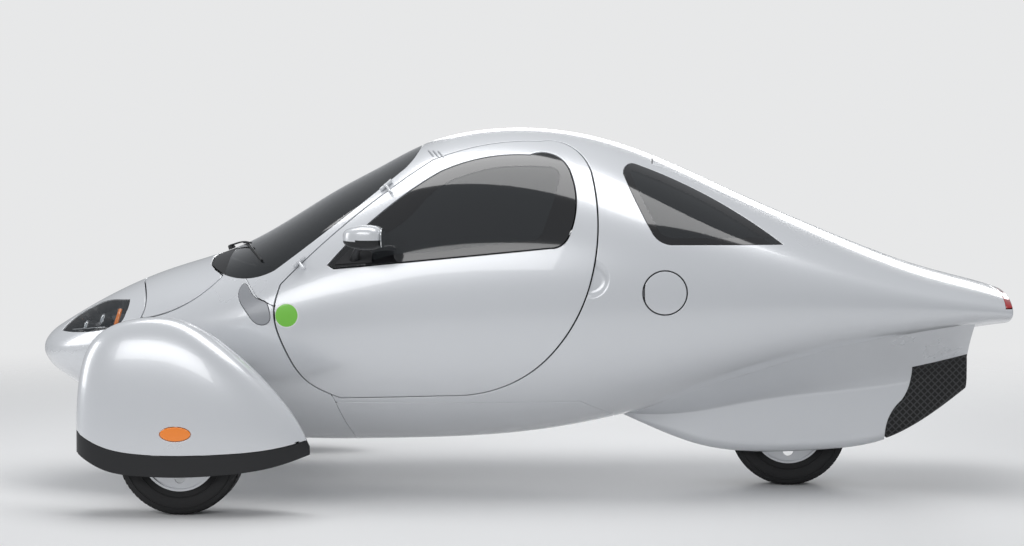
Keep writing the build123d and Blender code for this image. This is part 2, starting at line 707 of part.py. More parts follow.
def make_doors():
    """Doors with their panes, hinges and mirrors."""
    global MAIN_BODY
    door = one(SHELL & door_cut(-SHUT_GAP / 2))
    for cutter in WINDOW_CUT:
        door = door - cutter
    scoop_y = -sideways(skin_y(*HANDLE_PLACE))
    scoop = Solid.make_cone(HANDLE_RADIUS + 30, HANDLE_RADIUS - 12, HANDLE_DEPTH + 30, Plane(
        origin=(lengthwise(HANDLE_PLACE[0]), scoop_y - 30, upward(HANDLE_PLACE[1])),
        z_dir=(0, 1, 0)))
    body_scoop = scoop - across(grown(DOOR_OUTLINE, SHUT_GAP / 2), -WIDE, WIDE)
    for copy in both(body_scoop):
        MAIN_BODY = MAIN_BODY - copy
    for hinge, pivot in zip(DOOR_HINGES, DOOR_PIVOTS):
        fixed, moving = door_hinge(hinge, pivot)
        door += moving
        MAIN_BODY += fixed
        MAIN_BODY += mirrored(fixed)
    pane = one(glazed(WINDOW_OUTLINE, 0, -WIDE, -60))
    head_low, head_high = MIRROR_HEAD["low"], MIRROR_HEAD["high"]
    head = block(
        (lengthwise(head_low[0]), sideways(head_low[1]), upward(head_low[2])),
        (lengthwise(head_high[0]), sideways(head_high[1]), upward(head_high[2])))
    head = head.fillet(26, head.edges())
    foot_x, foot_z = -680.0, 1002.0
    foot = Vector(lengthwise(foot_x), -sideways(skin_y(foot_x, foot_z)), upward(foot_z))
    neck_end = Vector(lengthwise(-640), sideways(-760), upward(1140))
    neck = rod(foot + Vector(0, -14, 0), neck_end, 17)
    base = rod(foot + Vector(0, 30, 0), foot + Vector(0, -14, 0), 34) - hull(-FIT_GAP)
    mirror = (head + neck) + base
    mirror = mirror - hull(-FIT_GAP)
    for side, turn in (("left", lambda shape: shape), ("right", mirrored)):
        nodes["door_" + side] = turn(door)
        nodes["door_glass_" + side] = turn(pane)
        nodes["mirror_" + side] = turn(one(mirror))


make_doors()


# ---- Glass, cowl, wiper and lamps -------------------------------------------------------------
def make_front_and_lamps():
    """Windscreen, cowl, wiper, quarter windows, vents, headlamps and tail lamp."""
    behind = block((lengthwise(COWL_END) + SEAM, -WIDE, 0), (0, WIDE, 2 * BODY_HEIGHT))
    ahead = block((lengthwise(-1500), -WIDE, 0), (lengthwise(COWL_END), WIDE, 2 * BODY_HEIGHT))
    nodes["windscreen"] = one(glazed(WINDSCREEN_OUTLINE, 0, -WIDE, WIDE) & behind)
    cowl = (LID & across(WINDSCREEN_OUTLINE, -WIDE, WIDE)) & ahead
    nodes["cowl"] = one(cowl - hood_zone(SHUT_GAP / 2))
    pane = one(glazed(QUARTER_OUTLINE, 0, -WIDE, -60))
    nodes["quarter_window_left"] = pane
    nodes["quarter_window_right"] = mirrored(pane)
    lamp = across(grown(LAMP_OUTLINE, -FIT_GAP), -WIDE, -sideways(140) - FIT_GAP)
    lens = one((GLASS_OUT & lamp) - GLASS_IN)
    bowl = one((lamp & hull(GLASS_INSET + GLASS_THICKNESS + FIT_GAP)) - INNER)
    for side, turn in (("left", lambda shape: shape), ("right", mirrored)):
        nodes["headlamp_" + side] = turn(bowl)
        nodes["headlamp_cover_" + side] = turn(lens)
    nodes["tail_lamp"] = one(OUTER & across(TAIL_LAMP_OUTLINE, -WIDE, WIDE))
    spindle_x, spindle_y = lengthwise(-1330), sideways(40)
    skin = upward(hull_place(-1330)[0])
    spindle = rod((spindle_x, spindle_y, skin - 20), (spindle_x, spindle_y, skin + 22), 10)
    elbow = Vector(spindle_x, spindle_y, skin + 15)
    tip = off_skin((-1150, 1130), 0)
    tip = Vector(tip.X, tip.Y, tip.Z) + Vector(-14, 0, 18)
    nodes["wiper"] = one((spindle + rod(elbow, tip, 6)) - OUTER_CLEAR)


make_front_and_lamps()


# ---- Front running gear -----------------------------------------------------------------------
AXLE_X = REAR_AXLE_X - WHEELBASE
KINGPIN_Y = TRACK / 2 - KINGPIN_INSET
EYE_RADIUS = 24.0
PIN_HEAD = 12.0
HUB_HALF = 34.0              # hub's half length along the stub


def make_arms():
    """Left arms, one above the other, from the subframe to the eyes round the kingpin."""
    arms = None
    for level in (-1, 1):
        eye, inner = arm_line(-1, level)
        arm = blade(inner - Vector(0, FIT_GAP, 0), eye, ARM_CHORD, ARM_THICKNESS)
        half = ARM_THICKNESS / 2
        boss = rod(eye - Vector(0, 0, half), eye + Vector(0, 0, half), EYE_RADIUS)
        keep = block((AXLE_X - ARM_CHORD, -KINGPIN_Y - EYE_RADIUS, 0),
                     (AXLE_X + ARM_CHORD, -SUBFRAME_HALF_WIDTH - FIT_GAP, 2 * TYRE_RADIUS))
        arm = (arm & keep) + boss
        arm -= rod(eye - Vector(0, 0, 60), eye + Vector(0, 0, 60), KINGPIN_RADIUS + RUNNING_GAP)
        slot = ring_of(eye, EYE_RADIUS + 22, half, half + 40)
        arm -= slot
        arms = arm if arms is None else arms + arm
    return arms


def ring_of(eye, radius, low, high):
    """Room for the knuckle above and below an arm's eye."""
    above = rod(eye + Vector(0, 0, low), eye + Vector(0, 0, high), radius)
    below = rod(eye - Vector(0, 0, low), eye - Vector(0, 0, high), radius)
    return above + below


def make_knuckle():
    """Left knuckle: kingpin, upright, stub axle, and the bracket that carries the pant."""
    y = -KINGPIN_Y
    eye_top = TYRE_RADIUS + ARM_SPREAD + ARM_THICKNESS / 2
    eye_low = TYRE_RADIUS - ARM_SPREAD - ARM_THICKNESS / 2
    inner_top = eye_top - ARM_THICKNESS - FIT_GAP
    inner_low = eye_low + ARM_THICKNESS + FIT_GAP
    pin = rod((AXLE_X, y, eye_low - PIN_HEAD), (AXLE_X, y, eye_top + 2 * PIN_HEAD),
              KINGPIN_RADIUS)
    foot = rod((AXLE_X, y, eye_low - PIN_HEAD), (AXLE_X, y, eye_low - FIT_GAP), EYE_RADIUS - 4)
    post = block((AXLE_X - 26, y - 18, inner_low), (AXLE_X + 26, y + 22, inner_top))
    stub = rod((AXLE_X, y, TYRE_RADIUS), (AXLE_X, -TRACK / 2 - HUB_HALF, TYRE_RADIUS), STUB_RADIUS)
    cap = block((AXLE_X - 24, y - 24, eye_top + PIN_HEAD),
                (AXLE_X + 24, BRACKET_Y, eye_top + 2 * PIN_HEAD))
    cap += rod((AXLE_X, y, eye_top + FIT_GAP), (AXLE_X, y, eye_top + PIN_HEAD), EYE_RADIUS - 4)
    plate = block((AXLE_X - BRACKET_HALF, BRACKET_Y - 8, eye_top + PIN_HEAD),
                  (AXLE_X + BRACKET_HALF, BRACKET_Y, BRACKET_TOP))
    pant_wall = -TRACK / 2 + PANT_HALF_WIDTH - PANT_WALL - FIT_GAP - 6
    tab = block((AXLE_X - BRACKET_HALF, BRACKET_Y - 8, BRACKET_TOP - 60),
                (AXLE_X + BRACKET_HALF, pant_wall + 30, BRACKET_TOP))
    tab = tab & pant_solid(PANT_WALL + FIT_GAP)
    return (pin + foot) + post + stub + cap + plate + tab


BRACKET_Y = -TRACK / 2 + TYRE_WIDTH / 2 + 36
BRACKET_HALF = 55.0
BRACKET_TOP = 2 * TYRE_RADIUS + 120


def pant_solid(inset=0.0):
    """The left pant's shape, or the shape this far inside it."""
    rings = []
    for x, top, share in PANT_STATIONS[2:-1] if inset > 0 else PANT_STATIONS:
        half = PANT_HALF_WIDTH * share
        rings.append(egg_ring(AXLE_X + x, top - inset, PANT_HIDDEN_BOTTOM,
                              max(half - inset, 6.0), PANT_WIDEST, PANT_POWER))
    return Solid.make_loft(rings).moved(Location((0, -TRACK / 2, 0)))


def pant_outline(points):
    """A side-view outline at the front axle, in real millimetres."""
    edges = []
    for piece in points:
        spots = [(AXLE_X + x, 0, z) for x, z in piece]
        edges.append(ThreePointArc(*spots) if len(spots) == 3 else Line(*spots))
    face = Face(Wire(edges)).moved(Location((0, -TRACK / 2 - 2 * PANT_HALF_WIDTH, 0)))
    return Solid.extrude(face, Vector(0, 4 * PANT_HALF_WIDTH, 0))


SKIRT_LINE = [(-500, 392), (-300, 290), (-46, 264), (380, 282), (600, 330)]
SKIRT_BOTTOM = [(-500, 300), (-300, 194), (11, 171), (400, 208), (600, 270)]


def below_line(line_points, drop):
    """Everything under a gentle line of two arcs."""
    a, b, c, e, f = [(x, z - drop) for x, z in line_points]
    return pant_outline([
        [a, b, c], [c, e], [e, f], [f, (600, -50)], [(600, -50), (-500, -50)], [(-500, -50), a],
    ])


def make_pant():
    """Left pant and its skirt: open below, and open inboard for the arms."""
    outer, inner = pant_solid(), pant_solid(PANT_WALL)
    pant = outer - inner - below_line(SKIRT_LINE, 0)
    skirt = (outer - pant_solid(SKIRT_WALL)) & below_line(SKIRT_LINE, FIT_GAP)
    skirt = skirt - below_line(SKIRT_BOTTOM, 0)
    window = block((AXLE_X - ARM_WINDOW / 2, -TRACK / 2, 0),
                   (AXLE_X + ARM_WINDOW / 2, -TRACK / 2 + 2 * PANT_HALF_WIDTH, ARM_WINDOW_TOP))
    return one(pant - window), skirt - window


def make_tyre(x, y):
    """A tyre, with its bead seats open for the rim."""
    half, wall = TYRE_WIDTH / 2, 11.0
    shoulder = TYRE_RADIUS - 22
    ring = Wire([
        Line((0, -half + 14, RIM_RADIUS), (0, -half, RIM_RADIUS + 24)),
        ThreePointArc((0, -half, RIM_RADIUS + 24), (0, -half - 3, (RIM_RADIUS + shoulder) / 2 + 8),
                      (0, -half + 6, shoulder)),
        ThreePointArc((0, -half + 6, shoulder), (0, -half + 14, TYRE_RADIUS - 7),
                      (0, -half + 30, TYRE_RADIUS - 1)),
        ThreePointArc((0, -half + 30, TYRE_RADIUS - 1), (0, 0, TYRE_RADIUS),
                      (0, half - 30, TYRE_RADIUS - 1)),
        ThreePointArc((0, half - 30, TYRE_RADIUS - 1), (0, half - 14, TYRE_RADIUS - 7),
                      (0, half - 6, shoulder)),
        ThreePointArc((0, half - 6, shoulder), (0, half + 3, (RIM_RADIUS + shoulder) / 2 + 8),
                      (0, half, RIM_RADIUS + 24)),
        Line((0, half, RIM_RADIUS + 24), (0, half - 14, RIM_RADIUS)),
        Line((0, half - 14, RIM_RADIUS), (0, half - 14 - wall, RIM_RADIUS)),
        Line((0, half - 14 - wall, RIM_RADIUS), (0, half - 14 - wall, TYRE_RADIUS - 26)),
        Line((0, half - 14 - wall, TYRE_RADIUS - 26), (0, -half + 14 + wall, TYRE_RADIUS - 26)),
        Line((0, -half + 14 + wall, TYRE_RADIUS - 26), (0, -half + 14 + wall, RIM_RADIUS)),
        Line((0, -half + 14 + wall, RIM_RADIUS), (0, -half + 14, RIM_RADIUS)),
    ])
    tyre = Solid.revolve(Face(ring), 360, Axis.Y)
    return tyre.moved(Location((x, y, TYRE_RADIUS)))


def make_rim(x, y, outward, bore):
    """A rim with its disc on the outward side, -1 for the left: hub, disc and barrel."""
    half = TYRE_WIDTH / 2 - 10
    seat = RIM_RADIUS - FIT_GAP
    barrel = rod((0, -half, 0), (0, half, 0), seat)
    barrel -= rod((0, -half - 1, 0), (0, half + 1, 0), seat - RIM_BARREL)
    face = outward * (half - 16)
    disc = rod((0, face - 5, 0), (0, face + 5, 0), seat - RIM_BARREL / 2)
    holes = None
    for step in range(8):
        turn = math.radians(45 * step)
        hx, hz = 108 * math.cos(turn), 108 * math.sin(turn)
        hole = rod((hx, face - 20, hz), (hx, face + 20, hz), 24)
        holes = hole if holes is None else holes + hole
    hub_low, hub_high = (-HUB_HALF, face) if outward > 0 else (face, HUB_HALF)
    hub = rod((0, hub_low, 0), (0, hub_high, 0), HUB_RADIUS)
    rim = ((disc - holes) + barrel) + hub
    rim -= rod((0, -half - 60, 0), (0, half + 60, 0), bore)
    return rim.moved(Location((x, y, TYRE_RADIUS)))


def make_front_gear():
    """Arms, knuckles, pants, skirts, markers, tyres and rims of both front wheels."""
    arms = make_arms()
    knuckle = make_knuckle()
    pant, skirt = make_pant()
    bore = STUB_RADIUS + RUNNING_GAP
    tyre = make_tyre(AXLE_X, -TRACK / 2)
    rim = make_rim(AXLE_X, -TRACK / 2, -1, bore)
    marker_y = -TRACK / 2 - PANT_HALF_WIDTH
    seat = rod((AXLE_X, marker_y - 40, MARKER_HEIGHT), (AXLE_X, marker_y + PANT_WALL / 2,
                                                       MARKER_HEIGHT), 36 + FIT_GAP)
    marker = rod((AXLE_X, marker_y - 3, MARKER_HEIGHT),
                 (AXLE_X, marker_y + PANT_WALL / 2 - FIT_GAP, MARKER_HEIGHT), 36)
    pant = one(pant - seat)
    for side, turn in (("left", lambda shape: shape), ("right", mirrored)):
        nodes["front_arms_" + side] = turn(arms)
        nodes["knuckle_" + side] = turn(knuckle)
        nodes["wheel_pant_" + side] = turn(pant)
        nodes["pant_skirt_" + side] = turn(skirt)
        nodes["side_marker_" + side] = turn(marker)
        nodes["front_tyre_" + side] = turn(tyre)
        nodes["front_rim_" + side] = turn(rim)
    top = ARM_INNER_HEIGHT + ARM_INNER_SPREAD + ARM_THICKNESS
    frame = block((AXLE_X - 60, -SUBFRAME_HALF_WIDTH, 200), (AXLE_X + 60, SUBFRAME_HALF_WIDTH, top))
    tunnel = block((AXLE_X - 61, -SUBFRAME_HALF_WIDTH + 24, 340),
                   (AXLE_X + 61, SUBFRAME_HALF_WIDTH - 24, top - 24))
    nodes["front_subframe"] = one((frame & INNER_CLEAR) - tunnel)


MARKER_HEIGHT = 356.0
make_front_gear()


# ---- Rear fairing and running gear ------------------------------------------------------------
def fairing_ring(x, crease, crease_z, share, flare_z, bottom, inset):
    """One ring of the fairing: a flare from the crease down to the keel, and the keel's bottom."""
    flank = FAIRING_HALF_WIDTH * share - inset
    out = sideways(crease) - inset
    top, flare, low = upward(crease_z), upward(flare_z), upward(bottom) + inset
    mid_y, mid_z = flank + (out - flank) * 0.36, flare + (top - flare) * 0.52
    corner = min(40.0, 0.4 * (flare - low), 0.5 * flank)
    bend = corner * (1 - math.sqrt(0.5))

    def at(y, z):
        return (lengthwise(x), y, z)

    right = [
        Line(at(0, top + 60), at(out, top + 60)),
        Line(at(out, top + 60), at(out, top)),
        ThreePointArc(at(out, top), at(mid_y, mid_z), at(flank, flare)),
        Line(at(flank, flare), at(flank, low + corner)),
        ThreePointArc(at(flank, low + corner), at(flank - bend, low + bend),
                      at(flank - corner, low)),
        Line(at(flank - corner, low), at(0, low)),
    ]
    return Wire(right + [edge.mirror(Plane.XZ) for edge in right])


def fairing_solid(inset=0.0):
    """The fairing's whole shape, or the shape this far inside it."""
    stations = FAIRING_STATIONS[1:] if inset > 0 else FAIRING_STATIONS
    return Solid.make_loft([fairing_ring(*station, inset) for station in stations])


PIVOT_X = 800.0
PIVOT_Z = 318.0
FORK_Y = TYRE_WIDTH / 2 + 26
FORK_WIDTH = 20.0


def make_rear_gear():
    """Fairing, its mesh mouth, swingarm, subframe, tyre and rim."""
    global MAIN_BODY
    well_radius = TYRE_RADIUS + WHEEL_CLEARANCE
    well_half = TYRE_WIDTH / 2 + WHEEL_CLEARANCE
    well = rod((REAR_AXLE_X, -well_half, TYRE_RADIUS), (REAR_AXLE_X, well_half, TYRE_RADIUS),
               well_radius)
    MAIN_BODY = one(MAIN_BODY - well)
    slot_half = math.sqrt(well_radius ** 2 - (TYRE_RADIUS - 165) ** 2) - 2
    slot = block((REAR_AXLE_X - slot_half, -well_half - 6, 0),
                 (REAR_AXLE_X + slot_half, well_half + 6, upward(240)))
    whole = (fairing_solid() - OUTER_CLEAR) - block(
        (0, -WIDE, 0), (lengthwise(480), WIDE, BODY_HEIGHT))
    end = block((lengthwise(2040), -WIDE, 0), (lengthwise(2400), WIDE, BODY_HEIGHT))
    hollow = fairing_solid(FAIRING_WALL) - end
    shell = whole - hollow - slot
    mouth_zone = across(MOUTH_OUTLINE, -WIDE, WIDE)
    nodes["rear_fairing"] = one(shell - across(grown(MOUTH_OUTLINE, FIT_GAP), -WIDE, WIDE))
    nodes["rear_mouth"] = one(shell & mouth_zone)
    nodes["rear_tyre"] = make_tyre(REAR_AXLE_X, 0)
    nodes["rear_rim"] = make_rim(REAR_AXLE_X, 0, -1, STUB_RADIUS + RUNNING_GAP)
    cross = rod((PIVOT_X, -FORK_Y - FORK_WIDTH, PIVOT_Z), (PIVOT_X, FORK_Y + FORK_WIDTH, PIVOT_Z),
                24)
    swing = cross
    for side in (-1, 1):
        near, far = side * FORK_Y, side * (FORK_Y + FORK_WIDTH)
        low, high = min(near, far), max(near, far)
        length = math.hypot(REAR_AXLE_X - PIVOT_X, TYRE_RADIUS - PIVOT_Z)
        turn = math.degrees(math.atan2(PIVOT_Z - TYRE_RADIUS, REAR_AXLE_X - PIVOT_X))
        bar = block((0, low, -24), (length, high, 24)).rotate(Axis.Y, turn)
        bar = bar.moved(Location((PIVOT_X, 0, PIVOT_Z)))
        end_eye = rod((REAR_AXLE_X, low, TYRE_RADIUS), (REAR_AXLE_X, high, TYRE_RADIUS), 30)
        swing = swing + bar + end_eye
    axle = rod((REAR_AXLE_X, -FORK_Y, TYRE_RADIUS), (REAR_AXLE_X, FORK_Y, TYRE_RADIUS),
               STUB_RADIUS)
    nodes["swingarm"] = swing + axle
    hanger = None
    for side in (-1, 1):
        y = side * 52
        plate = block((PIVOT_X - 40, y - 8, PIVOT_Z - 40), (PIVOT_X + 40, y + 8, upward(600)))
        hanger = plate if hanger is None else hanger + plate
    hanger = hanger - rod((PIVOT_X, -99, PIVOT_Z), (PIVOT_X, 99, PIVOT_Z), 24 + FIT_GAP)
    nodes["swingarm_hanger"] = hanger - OUTER_CLEAR


make_rear_gear()


# ---- Cabin ------------------------------------------------------------------------------------
CABIN_FRONT_X = -1060.0
DASH_OUTLINE = polygon((-1180, 800), (-1180, 965), (-850, 985), (-800, 960), (-830, 870))


def make_cabin():
    """Battery, floor, seats, dashboard, steering wheel, and the bulkhead behind the seats."""
    battery_front, battery_rear = lengthwise(-860), lengthwise(BULKHEAD_X - 60)
    floor_low = FLOOR_HEIGHT - FLOOR_THICKNESS
    nodes["battery"] = one(INNER_CLEAR & block(
        (battery_front, -WIDE, floor_low - FIT_GAP - BATTERY_DEPTH),
        (battery_rear, WIDE, floor_low - FIT_GAP)))
    rear_x = lengthwise(BULKHEAD_X)
    nodes["floor_pan"] = one(INNER_CLEAR & block(
        (lengthwise(CABIN_FRONT_X), -WIDE, floor_low), (rear_x - FIT_GAP, WIDE, FLOOR_HEIGHT)))
    nodes["bulkhead"] = one(INNER_CLEAR & block(
        (rear_x, -WIDE, 200), (rear_x + BULKHEAD_THICKNESS, WIDE, upward(930))))
    seat_x = lengthwise(-120)
    floor_y = FLOOR_HEIGHT + FIT_GAP
    profile = [(-290, 40), (-300, 130), (-285, 165), (-40, 128), (60, 150), (262, 700),
               (300, 712), (352, 694), (352, 600), (220, 60), (190, 40)]
    spots = [(seat_x + x, 0, floor_y + z) for x, z in profile]
    face = Face(Wire([Line(a, b) for a, b in zip(spots, spots[1:] + spots[:1])]))
    for side, sign in (("left", -1), ("right", 1)):
        y = sign * SEAT_PITCH / 2
        seat = Solid.extrude(face.moved(Location((0, y - SEAT_WIDTH / 2, 0))),
                             Vector(0, SEAT_WIDTH, 0))
        seat = seat.fillet(18, seat.edges().filter_by(Axis.Y))
        seat += block((seat_x - 230, y - PLINTH_WIDTH / 2, floor_y),
                      (seat_x + 120, y + PLINTH_WIDTH / 2, floor_y + 60))
        nodes["seat_" + side] = seat
    dash_half = sideways(540)
    dash = one(INNER_CLEAR & across(DASH_OUTLINE, -dash_half, dash_half))
    column_y = -SEAT_PITCH / 2
    wheel_at = Vector(lengthwise(-640), column_y, upward(925))
    way = Vector(-0.9, 0, -0.42).normalized()
    plane = Plane(origin=wheel_at, z_dir=way)
    ring = rod(wheel_at - way * GRIP_RADIUS, wheel_at + way * GRIP_RADIUS,
               STEERING_WHEEL_RADIUS + GRIP_RADIUS)
    ring = ring.chamfer(GRIP_RADIUS / 2, GRIP_RADIUS / 2, ring.edges())
    ring_bore = STEERING_WHEEL_RADIUS - GRIP_RADIUS
    ring = one(ring - rod(wheel_at - way * 2 * GRIP_RADIUS,
                          wheel_at + way * 2 * GRIP_RADIUS, ring_bore))
    inner = [edge for edge in ring.edges().filter_by(GeomType.CIRCLE)
             if abs(edge.radius - ring_bore) < 0.1]
    ring = ring.chamfer(GRIP_RADIUS / 2, GRIP_RADIUS / 2, inner)
    column = rod(wheel_at - way * 16, wheel_at + way * 300, 30)
    column = one(column - across(grown(DASH_OUTLINE, FIT_GAP), -WIDE, WIDE))
    spokes = None
    for turn in (30, 150, 270):
        angle = math.radians(turn)
        tip = plane.from_local_coords(Vector(math.cos(angle), math.sin(angle), 0)
                                      * (STEERING_WHEEL_RADIUS - 4))
        spoke = rod(wheel_at, tip, 8)
        spokes = spoke if spokes is None else spokes + spoke
    nodes["dashboard"] = dash
    nodes["steering_wheel"] = ring + (spokes + column)


make_cabin()

nodes["front_body"] = FRONT_BODY
nodes["main_body"] = MAIN_BODY
nodes["belly_pan"] = BELLY_PAN

os.makedirs("parts", exist_ok=True)
for name, shape in nodes.items():
    export_step(shape, os.path.join("parts", name + ".step"))
    print(name, len(shape.solids()), round(shape.volume / 1e6, 3), shape.is_valid)
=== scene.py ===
import math

import bmesh
import bpy
import numpy as np
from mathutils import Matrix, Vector
from mathutils.geometry import delaunay_2d_cdt


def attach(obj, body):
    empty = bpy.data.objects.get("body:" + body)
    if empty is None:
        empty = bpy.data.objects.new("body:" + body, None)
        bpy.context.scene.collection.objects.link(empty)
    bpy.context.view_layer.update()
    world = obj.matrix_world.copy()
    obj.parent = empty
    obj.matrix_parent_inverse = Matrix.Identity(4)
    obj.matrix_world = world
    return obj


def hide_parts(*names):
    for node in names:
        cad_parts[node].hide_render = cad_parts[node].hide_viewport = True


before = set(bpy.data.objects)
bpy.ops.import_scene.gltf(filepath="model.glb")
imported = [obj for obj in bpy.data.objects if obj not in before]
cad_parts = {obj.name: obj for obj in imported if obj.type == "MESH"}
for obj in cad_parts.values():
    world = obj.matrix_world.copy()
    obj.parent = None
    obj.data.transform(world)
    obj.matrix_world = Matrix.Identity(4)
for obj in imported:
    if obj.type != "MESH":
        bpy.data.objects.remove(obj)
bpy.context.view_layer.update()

# ---- Sizes, in metres ----
AXLE_X, REAR_X = -1.387, 1.241
HALF_TRACK = 0.990
TYRE_R = 0.266
SHUT_LINE = 0.0052           # a moving panel's edge is cut back by this
SEAM = 0.0008                # half the visible gap between two fixed panels
SKIN = 0.012                 # thickness of a fixed panel
MIDDLE = 0.0012              # points this near the car's middle join the two halves
SHORT_EDGE = 0.003           # rim edges shorter than this count less in its direction
NEAR_LINE = 0.42             # share of the spacing that is kept free beside a line
DOOR_DEPTH = 0.040
GRID = 0.030                 # spacing of the points over a panel
TAIL_ROUND = 0.011           # rounding of the body's blunt rear end
NOSE_TIP, TIP_LONG = -2.1925, 0.003         # where the nose's normals turn straight ahead
# Opening over the rear wheel: half length, half width and height
WELL_LONG, WELL_HALF, WELL_TOP = 0.285, 0.100, 0.65

# Body sections: place along the car, top, bottom, half width, widest height, all in mm
HULL = [
    (-2196.5, 625.2, 624.8, 0.8, 625), (-2194, 646, 604, 62, 625), (-2183, 676, 580, 152, 628),
    (-2150, 713, 535, 226, 631), (-2100, 747, 497, 290, 635), (-1900, 863, 383, 420, 655),
    (-1600, 992, 283, 535, 690), (-1250, 1112, 222, 620, 740), (-850, 1346, 203, 672, 800),
    (-625, 1467, 206, 688, 826), (-400, 1577, 212, 700, 850), (50, 1638, 244, 703, 875),
    (500, 1556, 330, 688, 890), (950, 1366, 455, 645, 890), (1400, 1172, 585, 585, 880),
    (1850, 1005, 690, 510, 855), (2110, 936, 745, 465, 835), (2186, 912, 757, 452, 826),
]
HULL_POWER = 2.2
# Front wheel's fairing: place from the axle and top in mm, and share of the half width
PANT = [
    (-449, 430, 0.20), (-438, 548, 0.40), (-398, 704, 0.64), (-313, 790, 0.83), (-160, 833, 0.96),
    (0, 822, 1.00), (140, 751, 0.96), (290, 631, 0.82), (410, 505, 0.60), (495, 390, 0.34),
    (549, 286, 0.07),
]
PANT_POWER = 2.8
PANT_LOW, PANT_HALF, PANT_WIDEST = 0.020, 0.160, 0.240
# Fairing sections: place, crease half width, crease height, keel share, flare's start, bottom
FAIRING = [
    (480, 165, 345, 0.24, 334, 322), (610, 345, 420, 0.62, 330, 270), (800, 415, 500, 0.86, 350, 200),
    (1000, 470, 590, 0.97, 390, 167), (1241, 505, 680, 1.00, 430, 165), (1461, 512, 740, 0.98, 455, 180),
    (1673, 510, 790, 0.94, 480, 222), (1875, 490, 812, 0.88, 520, 330), (2041, 470, 815, 0.80, 600, 455),
]
FAIRING_HALF = 0.172         # the keel's half width where its share is one


# ---- Curves and surfaces ----
def spline(knots, values, at):
    """A natural cubic spline through the values, one column each, at the wanted places."""
    knots, values = np.asarray(knots, float), np.asarray(values, float)
    count, step = len(knots), np.diff(knots)
    matrix = np.eye(count)
    right = np.zeros((count, values.shape[1]))
    for i in range(1, count - 1):
        matrix[i, i - 1:i + 2] = step[i - 1], 2 * (step[i - 1] + step[i]), step[i]
        right[i] = 6 * ((values[i + 1] - values[i]) / step[i]
                        - (values[i] - values[i - 1]) / step[i - 1])
    bend = np.linalg.solve(matrix, right)
    i = np.clip(np.searchsorted(knots, at) - 1, 0, count - 2)
    a, b, h = (at - knots[i])[:, None], (knots[i + 1] - at)[:, None], step[i][:, None]
    return (bend[i] * b ** 3 + bend[i + 1] * a ** 3) / (6 * h) \
        + (values[i] / h - bend[i] * h / 6) * b + (values[i + 1] / h - bend[i + 1] * h / 6) * a


def power_of(value, power):
    """The size's power, with the value's sign."""
    return np.sign(value) * np.abs(value) ** power


def unit_rows(rows):
    """Each row as a direction of length one."""
    return rows / np.maximum(np.linalg.norm(rows, axis=1), 1e-12)[:, None]


class Skin:
    """A surface along the car, by station columns; its domain is (along, round) in metres."""

    girth = 0.7
    middle = 0.0

    def __init__(self, stations):
        columns = np.array(stations, float)
        chord = np.linalg.norm(np.diff(columns[:, :4], axis=0), axis=1) ** 0.7
        knots = np.concatenate([[0], np.cumsum(chord)])
        dense = self.capped(spline(knots, columns, np.linspace(0, knots[-1], 4001)))
        length = np.linalg.norm(np.diff(dense[:, :3], axis=0), axis=1)
        self.dense = dense
        self.along = np.concatenate([[0], np.cumsum(length)])

    def capped(self, dense):
        """Closes the surface's end, where it has one."""
        return dense

    def at(self, along):
        """The station's columns at places along the surface."""
        return [np.interp(along, self.along, self.dense[:, k])
                for k in range(self.dense.shape[1])]

    def along_of(self, x):
        return np.interp(x, self.dense[:, 0], self.along)

    def normals(self, uv):
        """Outward normals from small differences."""
        small = 2e-4
        du, dv = np.array([small, 0]), np.array([0, small])
        low, high = self.along[0] + small, self.along[-1] - small
        safe = np.column_stack([np.clip(uv[:, 0], low, high), uv[:, 1]])
        across = self.point(safe + dv) - self.point(safe - dv)
        ahead = self.point(safe + du) - self.point(safe - du)
        normal = unit_rows(np.cross(ahead, across))
        spots = self.point(safe)
        core = np.column_stack([spots[:, 0], self.middle + 0 * spots[:, 1], self.core(safe[:, 0])])
        out = np.einsum("ij,ij->i", normal, spots - core)
        return np.nan_to_num(normal if np.nanmedian(out) > 0 else -normal)


class Egg(Skin):
    """Sections of two half super-ellipses: top, bottom, half width, widest height."""

    def __init__(self, stations, power, middle=0.0):
        self.power, self.middle = power, middle
        super().__init__(stations)

    def core(self, along):
        return self.at(along)[4]

    def point(self, uv):
        x, top, bottom, half, widest = self.at(uv[:, 0])
        turn = uv[:, 1] / self.girth
        out = half * power_of(np.cos(turn), 2 / self.power)
        rise = power_of(np.sin(turn), 2 / self.power)
        z = widest + np.where(rise > 0, (top - widest) * rise, (widest - bottom) * rise)
        return np.column_stack([x, self.middle - out, z])

    def side(self, places, inboard=False):
        """Domain points of side-view places, on the -Y half or on the other."""
        places = np.asarray(places, float)
        along = self.along_of(places[:, 0])
        x, top, bottom, half, widest = self.at(along)
        z = places[:, 1]
        share = np.where(z > widest, (z - widest) / (top - widest),
                         (z - widest) / (widest - bottom))
        turn = np.arcsin(np.clip(power_of(share, self.power / 2), -1, 1))
        if inboard:
            turn = math.pi - turn
        return np.column_stack([along, turn * self.girth])

    def plan(self, places):
        """Domain points of plan-view places (x, distance from the middle) on the top half."""
        places = np.asarray(places, float)
        along = self.along_of(places[:, 0])
        half = self.at(along)[3]
        share = np.clip(places[:, 1] / half, 0, 1) ** (self.power / 2)
        return np.column_stack([along, np.arccos(share) * self.girth])


